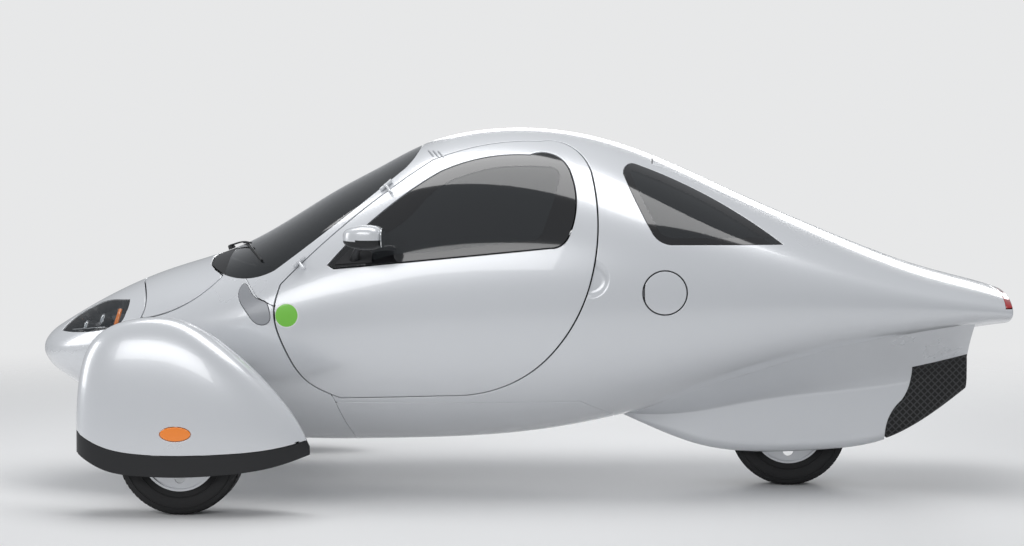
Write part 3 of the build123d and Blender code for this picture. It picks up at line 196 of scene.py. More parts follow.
class Flare(Skin):
    """The rear fairing's left half: from the crease down its hollow flank to the keel's middle."""

    girth = 1.0
    STEPS = 61
    HOLLOW, UPRIGHT, CORNER = 0.6, 0.8, 0.9     # where each part of a section ends

    def __init__(self, stations):
        super().__init__(stations)
        self.share = np.linspace(0, 1, self.STEPS)

    def core(self, along):
        return self.at(along)[2]

    def section(self, along):
        x, crease, crease_z, share, flare_z, bottom = self.at(along)
        flank = FAIRING_HALF * share
        corner = np.minimum(np.minimum(0.045, 0.4 * (flare_z - bottom)), 0.5 * flank)
        pts = []
        for t in self.share:
            if t <= self.HOLLOW:
                q = t / self.HOLLOW
                mid_y, mid_z = flank + (crease - flank) * 0.16, flare_z + (crease_z - flare_z) * 0.32
                y = (1 - q) ** 2 * crease + 2 * q * (1 - q) * mid_y + q * q * flank
                z = (1 - q) ** 2 * crease_z + 2 * q * (1 - q) * mid_z + q * q * flare_z
            elif t <= self.UPRIGHT:
                q = (t - self.HOLLOW) / (self.UPRIGHT - self.HOLLOW)
                y, z = flank, flare_z + (bottom + corner - flare_z) * q
            elif t <= self.CORNER:
                turn = (t - self.UPRIGHT) / (self.CORNER - self.UPRIGHT) * math.pi / 2
                y = flank - corner * (1 - math.cos(turn))
                z = bottom + corner * (1 - math.sin(turn))
            else:
                q = (t - self.CORNER) / (1 - self.CORNER)
                y, z = (flank - corner) * (1 - q), bottom
            pts.append((y + 0 * x, z + 0 * x))
        return x, np.array([p[0] for p in pts]), np.array([p[1] for p in pts])

    def point(self, uv):
        x, ys, zs = self.section(uv[:, 0])
        spot = np.clip(uv[:, 1], 0, 1) * (self.STEPS - 1)
        low = np.clip(spot.astype(int), 0, self.STEPS - 2)
        part, row = spot - low, np.arange(len(x))
        y = ys[low, row] * (1 - part) + ys[low + 1, row] * part
        z = zs[low, row] * (1 - part) + zs[low + 1, row] * part
        return np.column_stack([x, -y, z])

    def side(self, places):
        places = np.asarray(places, float)
        along = self.along_of(places[:, 0])
        x, ys, zs = self.section(along)
        v = [np.interp(-z, -zs[:, i], self.share) for i, z in enumerate(places[:, 1])]
        return np.column_stack([along, v])


def metres(rows, shares=()):
    """Rows in mm to metres, but the columns in shares stay as they are."""
    return [[v if k in shares else v / 1000 for k, v in enumerate(row)] for row in rows]


class Body(Egg):
    """The car's body, whose blunt tail is rounded over into a flat end."""

    def capped(self, dense):
        end, rows = dense[-1], []
        for turn in np.linspace(0, math.pi / 2, 12)[1:]:
            lost = TAIL_ROUND * (1 - math.cos(turn))
            rows.append([end[0] + TAIL_ROUND * math.sin(turn), end[1] - lost, end[2] + lost,
                         end[3] - lost, end[4]])
        last = rows[-1]
        for share in np.linspace(1, 0.002, 40)[1:]:
            rows.append([last[0] + 2e-6 * (1 - share), last[4] + (last[1] - last[4]) * share,
                         last[4] + (last[2] - last[4]) * share, last[3] * share, last[4]])
        return np.vstack([dense, rows])

    def normals(self, uv):
        """Straight ahead at the nose's tip, and straight back on the tail's flat end."""
        normals, x = super().normals(uv), self.point(uv)[:, 0]
        tip = np.clip((NOSE_TIP - x) / TIP_LONG, 0, 1)[:, None]
        end = (uv[:, 0] > self.flat_from - 1e-4)[:, None]
        normals = normals * (1 - tip) + np.array([-1, 0, 0]) * tip
        return unit_rows(np.where(end, np.array([1.0, 0, 0]), normals))

    @property
    def flat_from(self):
        return self.along[-40]


hull_skin = Body(metres(HULL), HULL_POWER)
pant_skin = Egg([((AXLE_X * 1000 + x) / 1000, top / 1000, PANT_LOW, PANT_HALF * share,
                  PANT_WIDEST) for x, top, share in PANT], PANT_POWER, middle=-HALF_TRACK)
fairing_skin = Flare(metres(FAIRING, shares=(3,)))


# ---- Outlines, seen from the left with the nose at -X: loops in mm, single values in metres ----
def bent(a, b, c, step=14.0):
    """Points along the arc through three places, without the last."""
    (ax, az), (bx, bz), (cx, cz) = a, b, c
    twice = 2 * (ax * (bz - cz) + bx * (cz - az) + cx * (az - bz))
    sums = [x * x + z * z for x, z in (a, b, c)]
    mx = (sums[0] * (bz - cz) + sums[1] * (cz - az) + sums[2] * (az - bz)) / twice
    mz = (sums[0] * (cx - bx) + sums[1] * (ax - cx) + sums[2] * (bx - ax)) / twice
    radius = math.hypot(ax - mx, az - mz)
    start, middle, end = [math.atan2(z - mz, x - mx) for x, z in (a, b, c)]
    turn = (end - start) % (2 * math.pi)
    if (middle - start) % (2 * math.pi) > turn:
        turn -= 2 * math.pi
    count = max(2, int(abs(turn) * radius / step))
    return [(mx + radius * math.cos(start + turn * i / count),
             mz + radius * math.sin(start + turn * i / count)) for i in range(count)]


def straight(a, b, step=14.0):
    count = max(1, int(math.dist(a, b) / step))
    return [(a[0] + (b[0] - a[0]) * i / count, a[1] + (b[1] - a[1]) * i / count)
            for i in range(count)]


def traced(start, *pieces, closed=True):
    """Dense points in metres; a piece is an arc's middle and end, or a straight's end."""
    points = []
    for piece in pieces:
        points += bent(start, *piece) if len(piece) == 2 else straight(start, *piece)
        start = piece[-1]
    return np.array(points if closed else points + [start]) / 1000


def straight_points(corners, step=0.014):
    """Dense points along straight lines from corner to corner."""
    points = []
    for a, b in zip(corners, corners[1:]):
        points += straight(a, b, step)
    return np.array(points + [tuple(corners[-1])])


def smooth_loop(points, closed=True, step=0.012):
    """A smooth curve through places in mm, as dense points in metres."""
    points = np.array(points, float) / 1000
    if closed:
        points = np.vstack([points[-3:], points, points[:4]])
    knots = np.concatenate([[0], np.cumsum(np.linalg.norm(np.diff(points, axis=0), axis=1))])
    low, high = (knots[3], knots[-4]) if closed else (0, knots[-1])
    count = max(8, int((high - low) / step))
    at = np.linspace(low, high, count + 1)
    return spline(knots, points, at[:-1] if closed else at)


def inside(loop, points):
    """Which points are inside the closed loop."""
    x, y = points[:, 0], points[:, 1]
    result = np.zeros(len(points), bool)
    for (ax, ay), (bx, by) in zip(loop, np.roll(loop, -1, axis=0)):
        crossing = (ay > y) != (by > y)
        if ay != by:
            result ^= crossing & (x < (bx - ax) * (y - ay) / (by - ay) + ax)
    return result


def shrunk(loop, by):
    """The loop with each point moved inwards."""
    way = unit_rows(np.roll(loop, -1, axis=0) - np.roll(loop, 1, axis=0))
    normal = np.column_stack([way[:, 1], -way[:, 0]])
    sign = 1 if inside(loop, loop + normal * 0.002).mean() > 0.5 else -1
    return loop + sign * normal * by


DOOR = np.vstack([
    traced((-1020, 954), [(-721, 1234), (-370, 1495)], [(-150, 1561), (110, 1580)],
           [(267, 1545), (346, 1444)], [(378, 1210), (355, 1003)], [(278, 795), (146, 620)],
           [(-31, 504), (-275, 458)], [(-760, 444)]),
    smooth_loop([(-760, 444), (-908, 526), (-1001, 675), (-1046, 835), (-1020, 954)],
                closed=False)[:-1]])
DOOR = np.stack([DOOR, (DOOR + np.roll(DOOR, -1, axis=0)) / 2], axis=1).reshape(-1, 2)
WINDOW = traced((-803, 1040), [(-570, 1272), (-327, 1443)], [(-140, 1504), (70, 1518)],
                [(203, 1503), (254, 1431)], [(277, 1298), (246, 1166)],
                [(216, 1131), (168, 1119)], [(-780, 1026)], [(-803, 1040)])
WINDOW_CLEAR = smooth_loop([
    (-640, 1085), (-520, 1195), (-364, 1344), (-279, 1405), (-192, 1439), (-104, 1461), (28, 1472),
    (138, 1470), (190, 1457), (206, 1430), (196, 1380), (176, 1310), (150, 1230), (120, 1165),
    (60, 1146), (-120, 1128), (-380, 1098), (-560, 1076), (-625, 1069),
])
QUARTER = traced((484, 1436), [(496, 1472), (536, 1480)], [(845, 1345), (1186, 1128)],
                 [(710, 1130)], [(644, 1147), (606, 1192)], [(540, 1316), (484, 1436)])
QUARTER_CLEAR = shrunk(QUARTER, 0.030)
SCREEN_SIDE = traced((-430, 1590), [(-452, 1512), (-511, 1442)], [(-790, 1212), (-1049, 1013)],
                     [(-1213, 974), (-1375, 1026)], [(-1384, 1054)], closed=False)
COWL_X = -1.291
HOOD_HINGE, HATCH_HINGE = (-1.7612, 0.8450), (0.5160, 1.4674)
HOOD_FRONT = 0.1063          # distance of the hood's front edge from its pivot
HOOD_REAR = [(-1.298, 0.463), (-1.343, 0.389), (-1.375, 0.284), (-1.388, 0.150)]
LAMP = traced((-2078, 716), [(-2035, 768), (-1959, 816)], [(-1890, 847), (-1813, 862)],
              [(-1741, 866)], [(-1738, 836), (-1745, 810)], [(-1770, 762), (-1820, 741)],
              [(-1940, 720), (-2078, 716)])
VENT = smooth_loop([(-1190, 952), (-1128, 893), (-1080, 876), (-1066, 845), (-1064, 790),
                    (-1085, 776), (-1127, 783), (-1169, 831), (-1205, 884), (-1206, 930)])
SPLIT = np.array([(-2400, -100), (-2400, 1900), (-1183, 1900), (-1183, 975), (-1122, 896),
                  (-1030, 850), (-800, 460), (-790, 442), (-736, 273), (-700, -100)]) / 1000
BELLY = np.array([(-1000, -100), (-1000, 428), (300, 428), (440, 350), (440, -100)]) / 1000
HATCH_X, HATCH_END, HATCH_HALF = 0.610, 2.148, 0.268
LAMP_X, LAMP_Z = 2.165, 0.845               # the tail lamp is behind and over these
# Round outlines: their place and radius in metres
FLAP, DISC, SCOOP = (0.667, 0.924, 0.098), (-0.986, 0.819, 0.050), (0.342, 0.985, 0.088)
DISC_RING = 0.005            # width of the white ring round the disc
FLAP_CHORD = 0.575           # the flap ends here, so that it swings clear of the skin
SCOOP_DEPTH, SCOOP_FALL = 0.020, 0.030      # depth, and the width of the slope down to it
SCOOP_LEAN = 2.7             # how strongly the slope turns the skin's normals
SCOOP_RINGS = (0, 0.004, 0.009, 0.016, 0.026, 0.040, 0.055, 0.070)


def circle(spot, grow=0.0, count=72):
    x, z, radius = spot
    turn = np.linspace(0, 2 * math.pi, count, endpoint=False)
    return np.column_stack([x + (radius + grow) * np.cos(turn), z + (radius + grow) * np.sin(turn)])


# ---- Panels cut from a surface ----
def grid_points(low, high, spacing):
    """Staggered points over a rectangle of the domain, and its rim's points as a closed loop."""
    def rows_of(along, across):
        return np.column_stack(np.broadcast_arrays(along, across))

    rows = max(2, int((high[1] - low[1]) / (spacing * 0.87)))
    columns = max(2, int((high[0] - low[0]) / spacing))
    us = np.linspace(low[0], high[0], columns + 1)
    vs = np.linspace(low[1], high[1], rows + 1)
    step = us[1] - us[0]
    inner = [rows_of(us[1:-1] + (step / 2 if row % 2 else 0.0) - step / 4, v)
             for row, v in enumerate(vs[1:-1])]
    rim = [rows_of(us[:-1], low[1]), rows_of(high[0], vs[:-1]), rows_of(us[:0:-1], high[1]),
           rows_of(low[0], vs[:0:-1])]
    return np.vstack(inner), np.vstack(rim)


def triangulated(skin, curves, low, high, spacing, extra=None):
    """Triangles over the domain whose edges follow every curve, with places and normals."""
    inner, rim = grid_points(low, high, spacing)
    lines = [(rim, True)] + list(curves)
    close = np.full(len(inner), spacing * NEAR_LINE)
    if extra is not None:
        inner = np.vstack([inner, extra])
        close = np.concatenate([close, np.full(len(extra), 0.0025)])
    clear = np.full(len(inner), True)
    for points, _ in lines:
        for start in range(0, len(points), 60):
            part = points[start:start + 60]
            gaps = np.linalg.norm(inner[:, None] - part[None], axis=2).min(axis=1)
            clear &= gaps > close
    points, edges = [inner[clear]], []
    count = int(clear.sum())
    for line_points, closed in lines:
        held, n = np.clip(line_points, low, high), len(line_points)
        edges += [(count + i, count + (i + 1) % n) for i in range(n if closed else n - 1)]
        points.append(held)
        count += n
    made = delaunay_2d_cdt([Vector(p) for p in np.vstack(points)], edges, [], 0, 1e-5)
    uv = np.array([tuple(v) for v in made[0]])
    faces = np.array([tuple(f) for f in made[2] if len(f) == 3])
    places, normals = skin.point(uv), skin.normals(uv)
    a, b, c = [places[faces[:, k]] for k in range(3)]
    facing = np.einsum("ij,ij->i", np.cross(b - a, c - a), normals[faces[:, 0]])
    area = np.linalg.norm(np.cross(b - a, c - a), axis=1)
    faces = faces[area > 1e-9]
    flip = facing[area > 1e-9] < 0
    faces[flip] = faces[flip][:, ::-1]
    middle, domain = [(rows[faces[:, 0]] + rows[faces[:, 1]] + rows[faces[:, 2]]) / 3
                      for rows in (places, uv)]
    return {"faces": faces, "places": places, "normals": normals, "middle": middle,
            "domain": domain}


class Sheets:
    """Vertices, faces, material numbers and normals of a piece while it's put together."""

    def __init__(self):
        self.places, self.faces, self.slots, self.normals = [], [], [], []

    def add(self, places, faces, slot, normals):
        """Adds faces; normals has one row for each vertex."""
        base = sum(len(block) for block in self.places)
        places, normals = np.asarray(places, float), np.asarray(normals, float)
        self.places.append(places)
        slots = slot if np.ndim(slot) else [slot] * len(faces)
        for face, number in zip(faces, slots):
            self.faces.append([base + i for i in face])
            self.slots.append(int(number))
            self.normals.append([normals[i] for i in face])

    def mirrored(self):
        """The other side's copy, across the car's middle."""
        other = Sheets()
        flip = np.array([1, -1, 1])
        other.places = [block * flip for block in self.places]
        other.faces = [face[::-1] for face in self.faces]
        other.slots = list(self.slots)
        other.normals = [[n * flip for n in row[::-1]] for row in self.normals]
        return other

    def joined(self, other):
        both = Sheets()
        base = sum(len(block) for block in self.places)
        both.places = self.places + other.places
        both.faces = self.faces + [[base + i for i in face] for face in other.faces]
        both.slots = self.slots + other.slots
        both.normals = self.normals + other.normals
        return both


def linked(name, data):
    """A new object in the scene, at the origin."""
    piece = bpy.data.objects.new(name, data)
    bpy.context.scene.collection.objects.link(piece)
    return piece


def filled_mesh(name, places, faces, slots, materials):
    """A smooth mesh with its materials, and a material number for each face."""
    mesh = bpy.data.meshes.new(name)
    mesh.from_pydata(places, [], faces)
    mesh.polygons.foreach_set("use_smooth", [True] * len(faces))
    mesh.polygons.foreach_set("material_index", slots)
    for material in materials:
        mesh.materials.append(material)
    return mesh


def made_object(name, sheets, materials):
    """A Blender object from sheets, welded, with its own normals."""
    places = np.vstack(sheets.places)
    _, first, back = np.unique(np.round(places, 6), axis=0, return_index=True,
                               return_inverse=True)
    places, back = places[first], back.reshape(-1)
    faces, slots, normals = [], [], []
    for face, slot, row in zip(sheets.faces, sheets.slots, sheets.normals):
        spots = [int(back[i]) for i in face]
        keep = [k for k in range(len(spots)) if spots[k] != spots[k - 1]]
        if len(set(spots)) < 3 or len(keep) < 3:
            continue
        faces.append([spots[k] for k in keep])
        slots.append(slot)
        normals += [tuple(row[k]) for k in keep]
    mesh = filled_mesh(name, [tuple(p) for p in places], faces, slots, materials)
    mesh.update()
    mesh.normals_split_custom_set(normals)
    return linked(name, mesh)


def rim_of(faces):
    """Directed edges that only one triangle has."""
    seen = {}
    for face in faces:
        for i in range(3):
            a, b = int(face[i]), int(face[(i + 1) % 3])
            if (b, a) in seen:
                del seen[(b, a)]
            else:
                seen[(a, b)] = True
    return list(seen)


def cut_panel(cover, chosen, gap, edge, thickness=SKIN, sink=0.0, slots=None, inner_slot=1,
              halves=True, move=None):
    """One panel from the chosen triangles: its face, rounded edges, walls and inner face."""
    faces = cover["faces"][chosen]
    slots = np.zeros(len(faces), int) if slots is None else slots[chosen]
    used, back = np.unique(faces, return_inverse=True)
    faces = back.reshape(faces.shape)
    places, normals = cover["places"][used].copy(), cover["normals"][used].copy()
    if move is not None:
        places, normals = move(places, normals)
    centre = (np.abs(places[:, 1]) < MIDDLE) & halves
    normals[centre, 1] = 0
    rim = [(a, b) for a, b in rim_of(faces) if not (centre[a] and centre[b])]
    outward, weight = np.zeros_like(places), np.zeros(len(places))
    for a, b in rim:
        way = places[b] - places[a]
        length = max(np.linalg.norm(way), 1e-9)
        share = min(length / SHORT_EDGE, 1)
        for i in (a, b):
            outward[i] += np.cross(way, normals[i]) * share / length
            weight[i] += share
    on_rim = weight > 0
    outward[centre, 1] = 0
    size = np.linalg.norm(outward / np.maximum(weight, 1e-9)[:, None], axis=1)
    outward = unit_rows(outward)
    reach = np.where(on_rim, 1 / np.clip(size, 0.5, 1), 0)[:, None]
    places += normals * -sink
    places[on_rim] -= (outward * reach * (gap + edge))[on_rim]
    sheets = Sheets()
    sheets.add(places, faces.tolist(), slots, normals)
    ring = np.where(on_rim)[0]
    number = {int(v): i for i, v in enumerate(ring)}
    out, up, base, spread = outward[ring], normals[ring], places[ring], reach[ring]
    rows = [(base, up)]
    for turn in (30, 60, 90):
        s, c = math.sin(math.radians(turn)), math.cos(math.radians(turn))
        rows.append((base + edge * (s * spread * out + (c - 1) * up), s * out + c * up))
    deep = base + edge * spread * out - up * thickness
    strips = list(zip(rows, rows[1:])) + [((rows[-1][0], out), (deep, out))]
    quads = [[number[a], len(ring) + number[a], len(ring) + number[b], number[b]] for a, b in rim]
    for (high, high_normals), (low, low_normals) in strips:
        sheets.add(np.vstack([high, low]), quads, 0, np.vstack([high_normals, low_normals]))
    inner = places - normals * thickness
    inner[ring] = deep
    sheets.add(inner, faces[:, ::-1].tolist(), inner_slot, -normals)
    return sheets


def shown_pair(name, sheets, materials, bodies, nodes):
    """A left piece and its mirrored copy; * in a body or a node stands for the side."""
    for side, copy in (("left", sheets), ("right", sheets.mirrored())):
        placed(made_object(f"{name}_{side}", copy, materials), bodies.replace("*", side),
               [node.replace("*", side) for node in nodes])


def placed(piece, body, nodes=()):
    """Puts a piece on its body, in the place of the nodes that it shows."""
    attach(piece, body)
    if nodes:
        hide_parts(*nodes)
    return piece


# ---- Materials ----
def fill(tree, made, given):
    """Gives a node's inputs their values, or links them to other nodes' outputs."""
    for key, value in given.items():
        if isinstance(value, bpy.types.NodeSocket):
            tree.links.new(value, made.inputs[key])
        else:
            made.inputs[key].default_value = value


def node(tree, kind, given, out=0, **settings):
    """Adds a node with its settings and inputs, and returns one of its outputs."""
    made = tree.nodes.new(kind)
    for key, value in settings.items():
        setattr(made, key, value)
    fill(tree, made, given)
    return made.outputs[out] if made.outputs else None


def maths(tree, operation, first, second=0.0):
    return node(tree, "ShaderNodeMath", {0: first, 1: second}, operation=operation)


def node_group(name, kind, inputs, outputs):
    """An empty node group with its sockets, and the outputs of its input node."""
    tree = bpy.data.node_groups.new(name, kind)
    for label, socket, value in inputs:
        made = tree.interface.new_socket(label, in_out="INPUT", socket_type="NodeSocket" + socket)
        if value is not None:
            made.default_value = value
    for label, socket in outputs:
        tree.interface.new_socket(label, in_out="OUTPUT", socket_type="NodeSocket" + socket)
    return tree, tree.nodes.new("NodeGroupInput").outputs


def cloudy_group():
    """Shared node group: a colour with faint cloudy change, its roughness, and a fine bump."""
    tree, given = node_group("cloudy_finish", "ShaderNodeTree", [
        ("Color", "Color", None), ("Change", "Float", 0.03), ("Scale", "Float", 6.0),
        ("Roughness", "Float", 0.4), ("Rough Change", "Float", 0.05), ("Grain", "Float", 200.0),
        ("Bump", "Float", 0.02)], [("Color", "Color"), ("Roughness", "Float"), ("Normal", "Vector")])
    spots = node(tree, "ShaderNodeTexCoord", {}, "Object")
    cloud = node(tree, "ShaderNodeTexNoise", {"Vector": spots, "Scale": given["Scale"], "Detail": 5})
    grain = node(tree, "ShaderNodeTexNoise", {"Vector": spots, "Scale": given["Grain"], "Detail": 3})
    swing = maths(tree, "MULTIPLY", maths(tree, "SUBTRACT", cloud, 0.5), 2.0)
    bright = maths(tree, "ADD", maths(tree, "MULTIPLY", swing, given["Change"]), 1.0)
    rough = maths(tree, "MULTIPLY", swing, given["Rough Change"])
    node(tree, "NodeGroupOutput", {
        "Color": node(tree, "ShaderNodeHueSaturation", {"Color": given["Color"], "Value": bright}),
        "Roughness": maths(tree, "ADD", rough, given["Roughness"]),
        "Normal": node(tree, "ShaderNodeBump", {"Distance": 0.002, "Strength": given["Bump"],
                                                "Height": grain})})
    return tree


FINISH = cloudy_group()


def finish_of(name, color, rough=0.4, metal=0.0, coat=0.0, change=0.03, scale=6.0,
              rough_change=0.04, grain=200.0, bump=0.02, glow=0.0, sheen=0.0, see=1.0):
    """A material on the shared finish group; see is how solid it looks."""
    material = bpy.data.materials.new(name)
    material.use_nodes = True
    tree, shader = material.node_tree, material.node_tree.nodes["Principled BSDF"]
    finish = node(tree, "ShaderNodeGroup", {
        "Color": (*color, 1), "Change": change, "Scale": scale, "Roughness": rough,
        "Rough Change": rough_change, "Grain": grain, "Bump": bump},
        node_tree=FINISH).node.outputs
    fill(tree, shader, {"Base Color": finish["Color"], "Roughness": finish["Roughness"],
                        "Metallic": metal, "Coat Weight": coat, "Coat Roughness": 0.03,
                        "IOR": 1.45, "Sheen Weight": sheen, "Alpha": see})
    if bump > 0:
        fill(tree, shader, {"Normal": finish["Normal"]})
    if glow > 0:
        fill(tree, shader, {"Emission Color": (*color, 1), "Emission Strength": glow})
    return material


PAINT = finish_of("pearl_white_paint", (0.71, 0.725, 0.75), 0.28, metal=0.28, coat=1.0,
                  change=0.012, scale=2.0, rough_change=0.02, grain=900, bump=0.004)
TRIM = finish_of("dark_inner_trim", (0.085, 0.087, 0.093), 0.72, grain=500, bump=0.25)
BLACK = finish_of("satin_black_plastic", (0.014, 0.0145, 0.016), 0.42, grain=700, bump=0.10)
GLOSS_BLACK = finish_of("gloss_black_border", (0.006, 0.006, 0.007), 0.10, coat=1.0, bump=0.0,
                        rough_change=0.01)
GREY = finish_of("grey_side_plate", (0.34, 0.35, 0.37), 0.34, metal=0.3, coat=0.3, grain=600,
                 bump=0.05)
EVEN = {"change": 0.0, "rough_change": 0.0, "bump": 0.0}
GLASS = finish_of("smoked_glass", (0.030, 0.033, 0.036), 0.04, coat=1.0, see=0.62, **EVEN)
SCREEN_GLASS = finish_of("dark_windscreen_glass", (0.012, 0.014, 0.016), 0.04, coat=1.0,
                         see=0.80, **EVEN)
LAMP_GLASS = finish_of("clear_lamp_cover", (0.10, 0.11, 0.12), 0.03, coat=1.0, see=0.16, **EVEN)
RED = finish_of("red_lamp_lens", (0.42, 0.010, 0.012), 0.12, coat=1.0, bump=0.03, grain=90)
AMBER = finish_of("amber_lens", (0.85, 0.23, 0.02), 0.15, coat=1.0, bump=0.05, grain=120,
                  glow=0.15)
CHROME = finish_of("bright_reflector", (0.86, 0.87, 0.88), 0.08, metal=1.0, bump=0.0,
                   rough_change=0.02)
LENS = finish_of("projector_lens", (0.62, 0.68, 0.72), 0.04, coat=1.0, bump=0.0)
METAL = finish_of("brushed_wheel_metal", (0.56, 0.57, 0.59), 0.30, metal=0.9, grain=350, bump=0.04)
ARM_METAL = finish_of("dark_arm_metal", (0.055, 0.057, 0.062), 0.45, metal=0.4, grain=300,
                      bump=0.15)
CASE = finish_of("battery_case_grey", (0.19, 0.20, 0.21), 0.5, metal=0.3, grain=250, bump=0.1)
RUBBER = finish_of("tyre_rubber", (0.018, 0.018, 0.019), 0.78, change=0.10, scale=12,
                   grain=400, bump=0.3)
CARPET = finish_of("cabin_carpet", (0.085, 0.085, 0.092), 0.95, change=0.2, scale=60, grain=1500,
                   bump=0.9, sheen=0.3)
FABRIC = finish_of("seat_fabric", (0.095, 0.097, 0.105), 0.9, change=0.12, scale=40, grain=1300,
                   bump=0.7, sheen=0.4)
PIPING = finish_of("seat_piping", (0.30, 0.31, 0.33), 0.7, grain=800, bump=0.3)
DASH = finish_of("cabin_plastic", (0.050, 0.051, 0.056), 0.6, grain=900, bump=0.35)
GREEN = finish_of("plain_green_disc", (0.20, 0.60, 0.06), 0.3, coat=0.8, bump=0.0)
WHITE = finish_of("white_ring", (0.8, 0.8, 0.8), 0.3, coat=0.8, bump=0.0)


def woven_group():
    """A fine square mesh: a pattern value that is 1 on the wires and 0 in the holes."""
    tree, given = node_group("woven_mesh", "ShaderNodeTree", [("Pitch", "Float", 0.012)],
                             [("Wire", "Float")])
    coords = node(tree, "ShaderNodeTexCoord", {}, "Object")
    along, _, up = node(tree, "ShaderNodeSeparateXYZ", {0: coords}).node.outputs
    waves = []
    for sign in (1, -1):
        turns = [maths(tree, "MULTIPLY", maths(tree, "DIVIDE", axis, given["Pitch"]), way * math.pi)
                 for axis, way in ((along, 1), (up, sign))]
        waves.append(maths(tree, "SINE", maths(tree, "ADD", *turns)))
    wire = node(tree, "ShaderNodeMapRange", {
        "From Min": 0.55, "From Max": 0.85, "Value": maths(tree, "MAXIMUM", *waves)},
        interpolation_type="SMOOTHSTEP")
    node(tree, "NodeGroupOutput", {"Wire": wire})
    return tree


def mesh_finish(name, hole_shade, wire, pitch):
    """A satin finish whose colour follows the woven mesh; the holes get a painted near-black shade in
    place of the dark space behind them.
    """
    material = finish_of(name, wire, 0.5, bump=0.0)
    tree = material.node_tree
    pattern = node(tree, "ShaderNodeGroup", {"Pitch": pitch}, node_tree=woven_group())
    color = node(tree, "ShaderNodeMix", {"A": (*hole_shade, 1), "B": (*wire, 1), "Factor": pattern},
                 "Result", data_type="RGBA")
    fill(tree, tree.nodes["Principled BSDF"], {"Base Color": color})
    return material


# The vent mesh is one closed sheet: its holes are painted near black as shade, and its wires are dark
# plastic.
MESH_DARK = mesh_finish("dark_vent_mesh", (0.003, 0.003, 0.003), (0.045, 0.046, 0.048), 0.016)


# ---- The body's panels ----
HALF_PI = hull_skin.girth * math.pi / 2
LOW = (0.0, -HALF_PI)
HIGH = (hull_skin.along[-1], HALF_PI)


def side_curve(loop, closed=True):
    """A side-view loop or line on the body, as triangulated takes it."""
    return (hull_skin.side(loop), closed)


def middle_spot(x, up=True):
    """The domain point on the car's middle line, over or under the place x."""
    return (hull_skin.along_of(x), HALF_PI if up else -HALF_PI)


def domain_line(*corners):
    """Straight lines in the domain, through points and rows of points."""
    return straight_points(np.vstack(corners), 0.02)


def hood_edge():
    """The hood's left edge: round its hinge line, along the flank, and up to the cowl."""
    (x, z), turn = HOOD_HINGE, np.radians(np.linspace(-33, 90, 40))
    front = np.column_stack([x + HOOD_FRONT * np.cos(turn), z + HOOD_FRONT * np.sin(turn)])
    tops = np.interp(front[:, 0], hull_skin.dense[:, 0], hull_skin.dense[:, 1])
    front = front[front[:, 1] < tops][::-1]
    flank = traced(tuple(front[-1] * 1000), [(-1480, 843), (-1303, 973)], closed=False)
    return domain_line(middle_spot(front[0, 0] - 0.002), hull_skin.side(front),
                       hull_skin.side(flank), hull_skin.plan(straight_points(HOOD_REAR)),
                       middle_spot(HOOD_REAR[-1][0]))


def lamp_edge():
    """The tail lamp's lower edge, at one height over the rounded tail."""
    along = np.linspace(hull_skin.along_of(LAMP_X), hull_skin.along[-1], 60)
    _, top, _, _, widest = hull_skin.at(along)
    share = np.clip((LAMP_Z - widest) / (top - widest), 0, 1)
    side = np.column_stack([along, np.arcsin(share ** (HULL_POWER / 2)) * hull_skin.girth])
    return np.vstack([domain_line((along[0], HALF_PI), side[0]), side])


HOOD_LINE = hood_edge()
COWL_A = hull_skin.along_of(COWL_X)
hatch_side = hull_skin.plan(straight_points([(HATCH_X, HATCH_HALF), (HATCH_END, HATCH_HALF)]))
HATCH_LINE = np.vstack([domain_line(middle_spot(HATCH_X), hatch_side[0]), hatch_side,
                        domain_line(hatch_side[-1], middle_spot(HATCH_END))])
SCREEN_LINE = domain_line(middle_spot(-0.430), hull_skin.side(SCREEN_SIDE), middle_spot(-1.384))
split_side = hull_skin.side(straight_points([(-1.183, 0.985), *SPLIT[3:9]]))
SPLIT_LINE = np.vstack([split_side, domain_line(split_side[-1], middle_spot(-0.715, up=False))])
belly_side = hull_skin.side(straight_points([(-0.789, 0.428), (0.300, 0.428), (0.440, 0.350)]))
BELLY_LINE = np.vstack([belly_side, domain_line(belly_side[-1], middle_spot(0.440, up=False))])


def outer_cover(with_flap):
    """Half of the body's surface, cut along the outlines of all its panels."""
    curves = [side_curve(loop) for loop in (DOOR, WINDOW, WINDOW_CLEAR, QUARTER,
                                            QUARTER_CLEAR, LAMP, VENT, circle(DISC),
                                            circle(DISC, DISC_RING))]
    for inset in SCOOP_RINGS:                # only where a ring is outside the door
        ring = circle(SCOOP, -inset, 60)
        clear = ~inside(shrunk(DOOR, -0.005), ring)
        start = np.where(clear & ~np.roll(clear, 1))[0][0] if not clear.all() else 0
        ring = np.roll(ring, -start, axis=0)[:clear.sum()]
        if len(ring) > 2:
            curves.append(side_curve(ring, False))
    cowl_line = domain_line((COWL_A, HALF_PI), hull_skin.side([(COWL_X, 0.990)]))
    curves += [(line, False) for line in (HOOD_LINE, HATCH_LINE, SCREEN_LINE, SPLIT_LINE,
                                          BELLY_LINE, lamp_edge(), cowl_line)]
    if with_flap:
        curves.append(side_curve(circle(FLAP)))
        half = math.sqrt(FLAP[2] ** 2 - (FLAP[0] - FLAP_CHORD) ** 2) - 0.0002
        curves.append(side_curve(straight_points([(FLAP_CHORD, FLAP[1] - half),
                                                  (FLAP_CHORD, FLAP[1] + half)], 0.010), False))
    turn_start = hull_skin.along_of(HULL[-1][0] / 1000)
    columns = [turn_start + TAIL_ROUND * share for share in (-2.4, -1.0, -0.2, 0.25, 0.6, 0.9,
                                                             1.2, 1.6, 2.6)]
    spots = np.arange(LOW[1] + 0.004, HIGH[1], 0.009)
    ends = np.vstack([np.column_stack([along + 0 * spots, spots]) for along in columns])
    return triangulated(hull_skin, curves, LOW, HIGH, GRID, extra=ends)


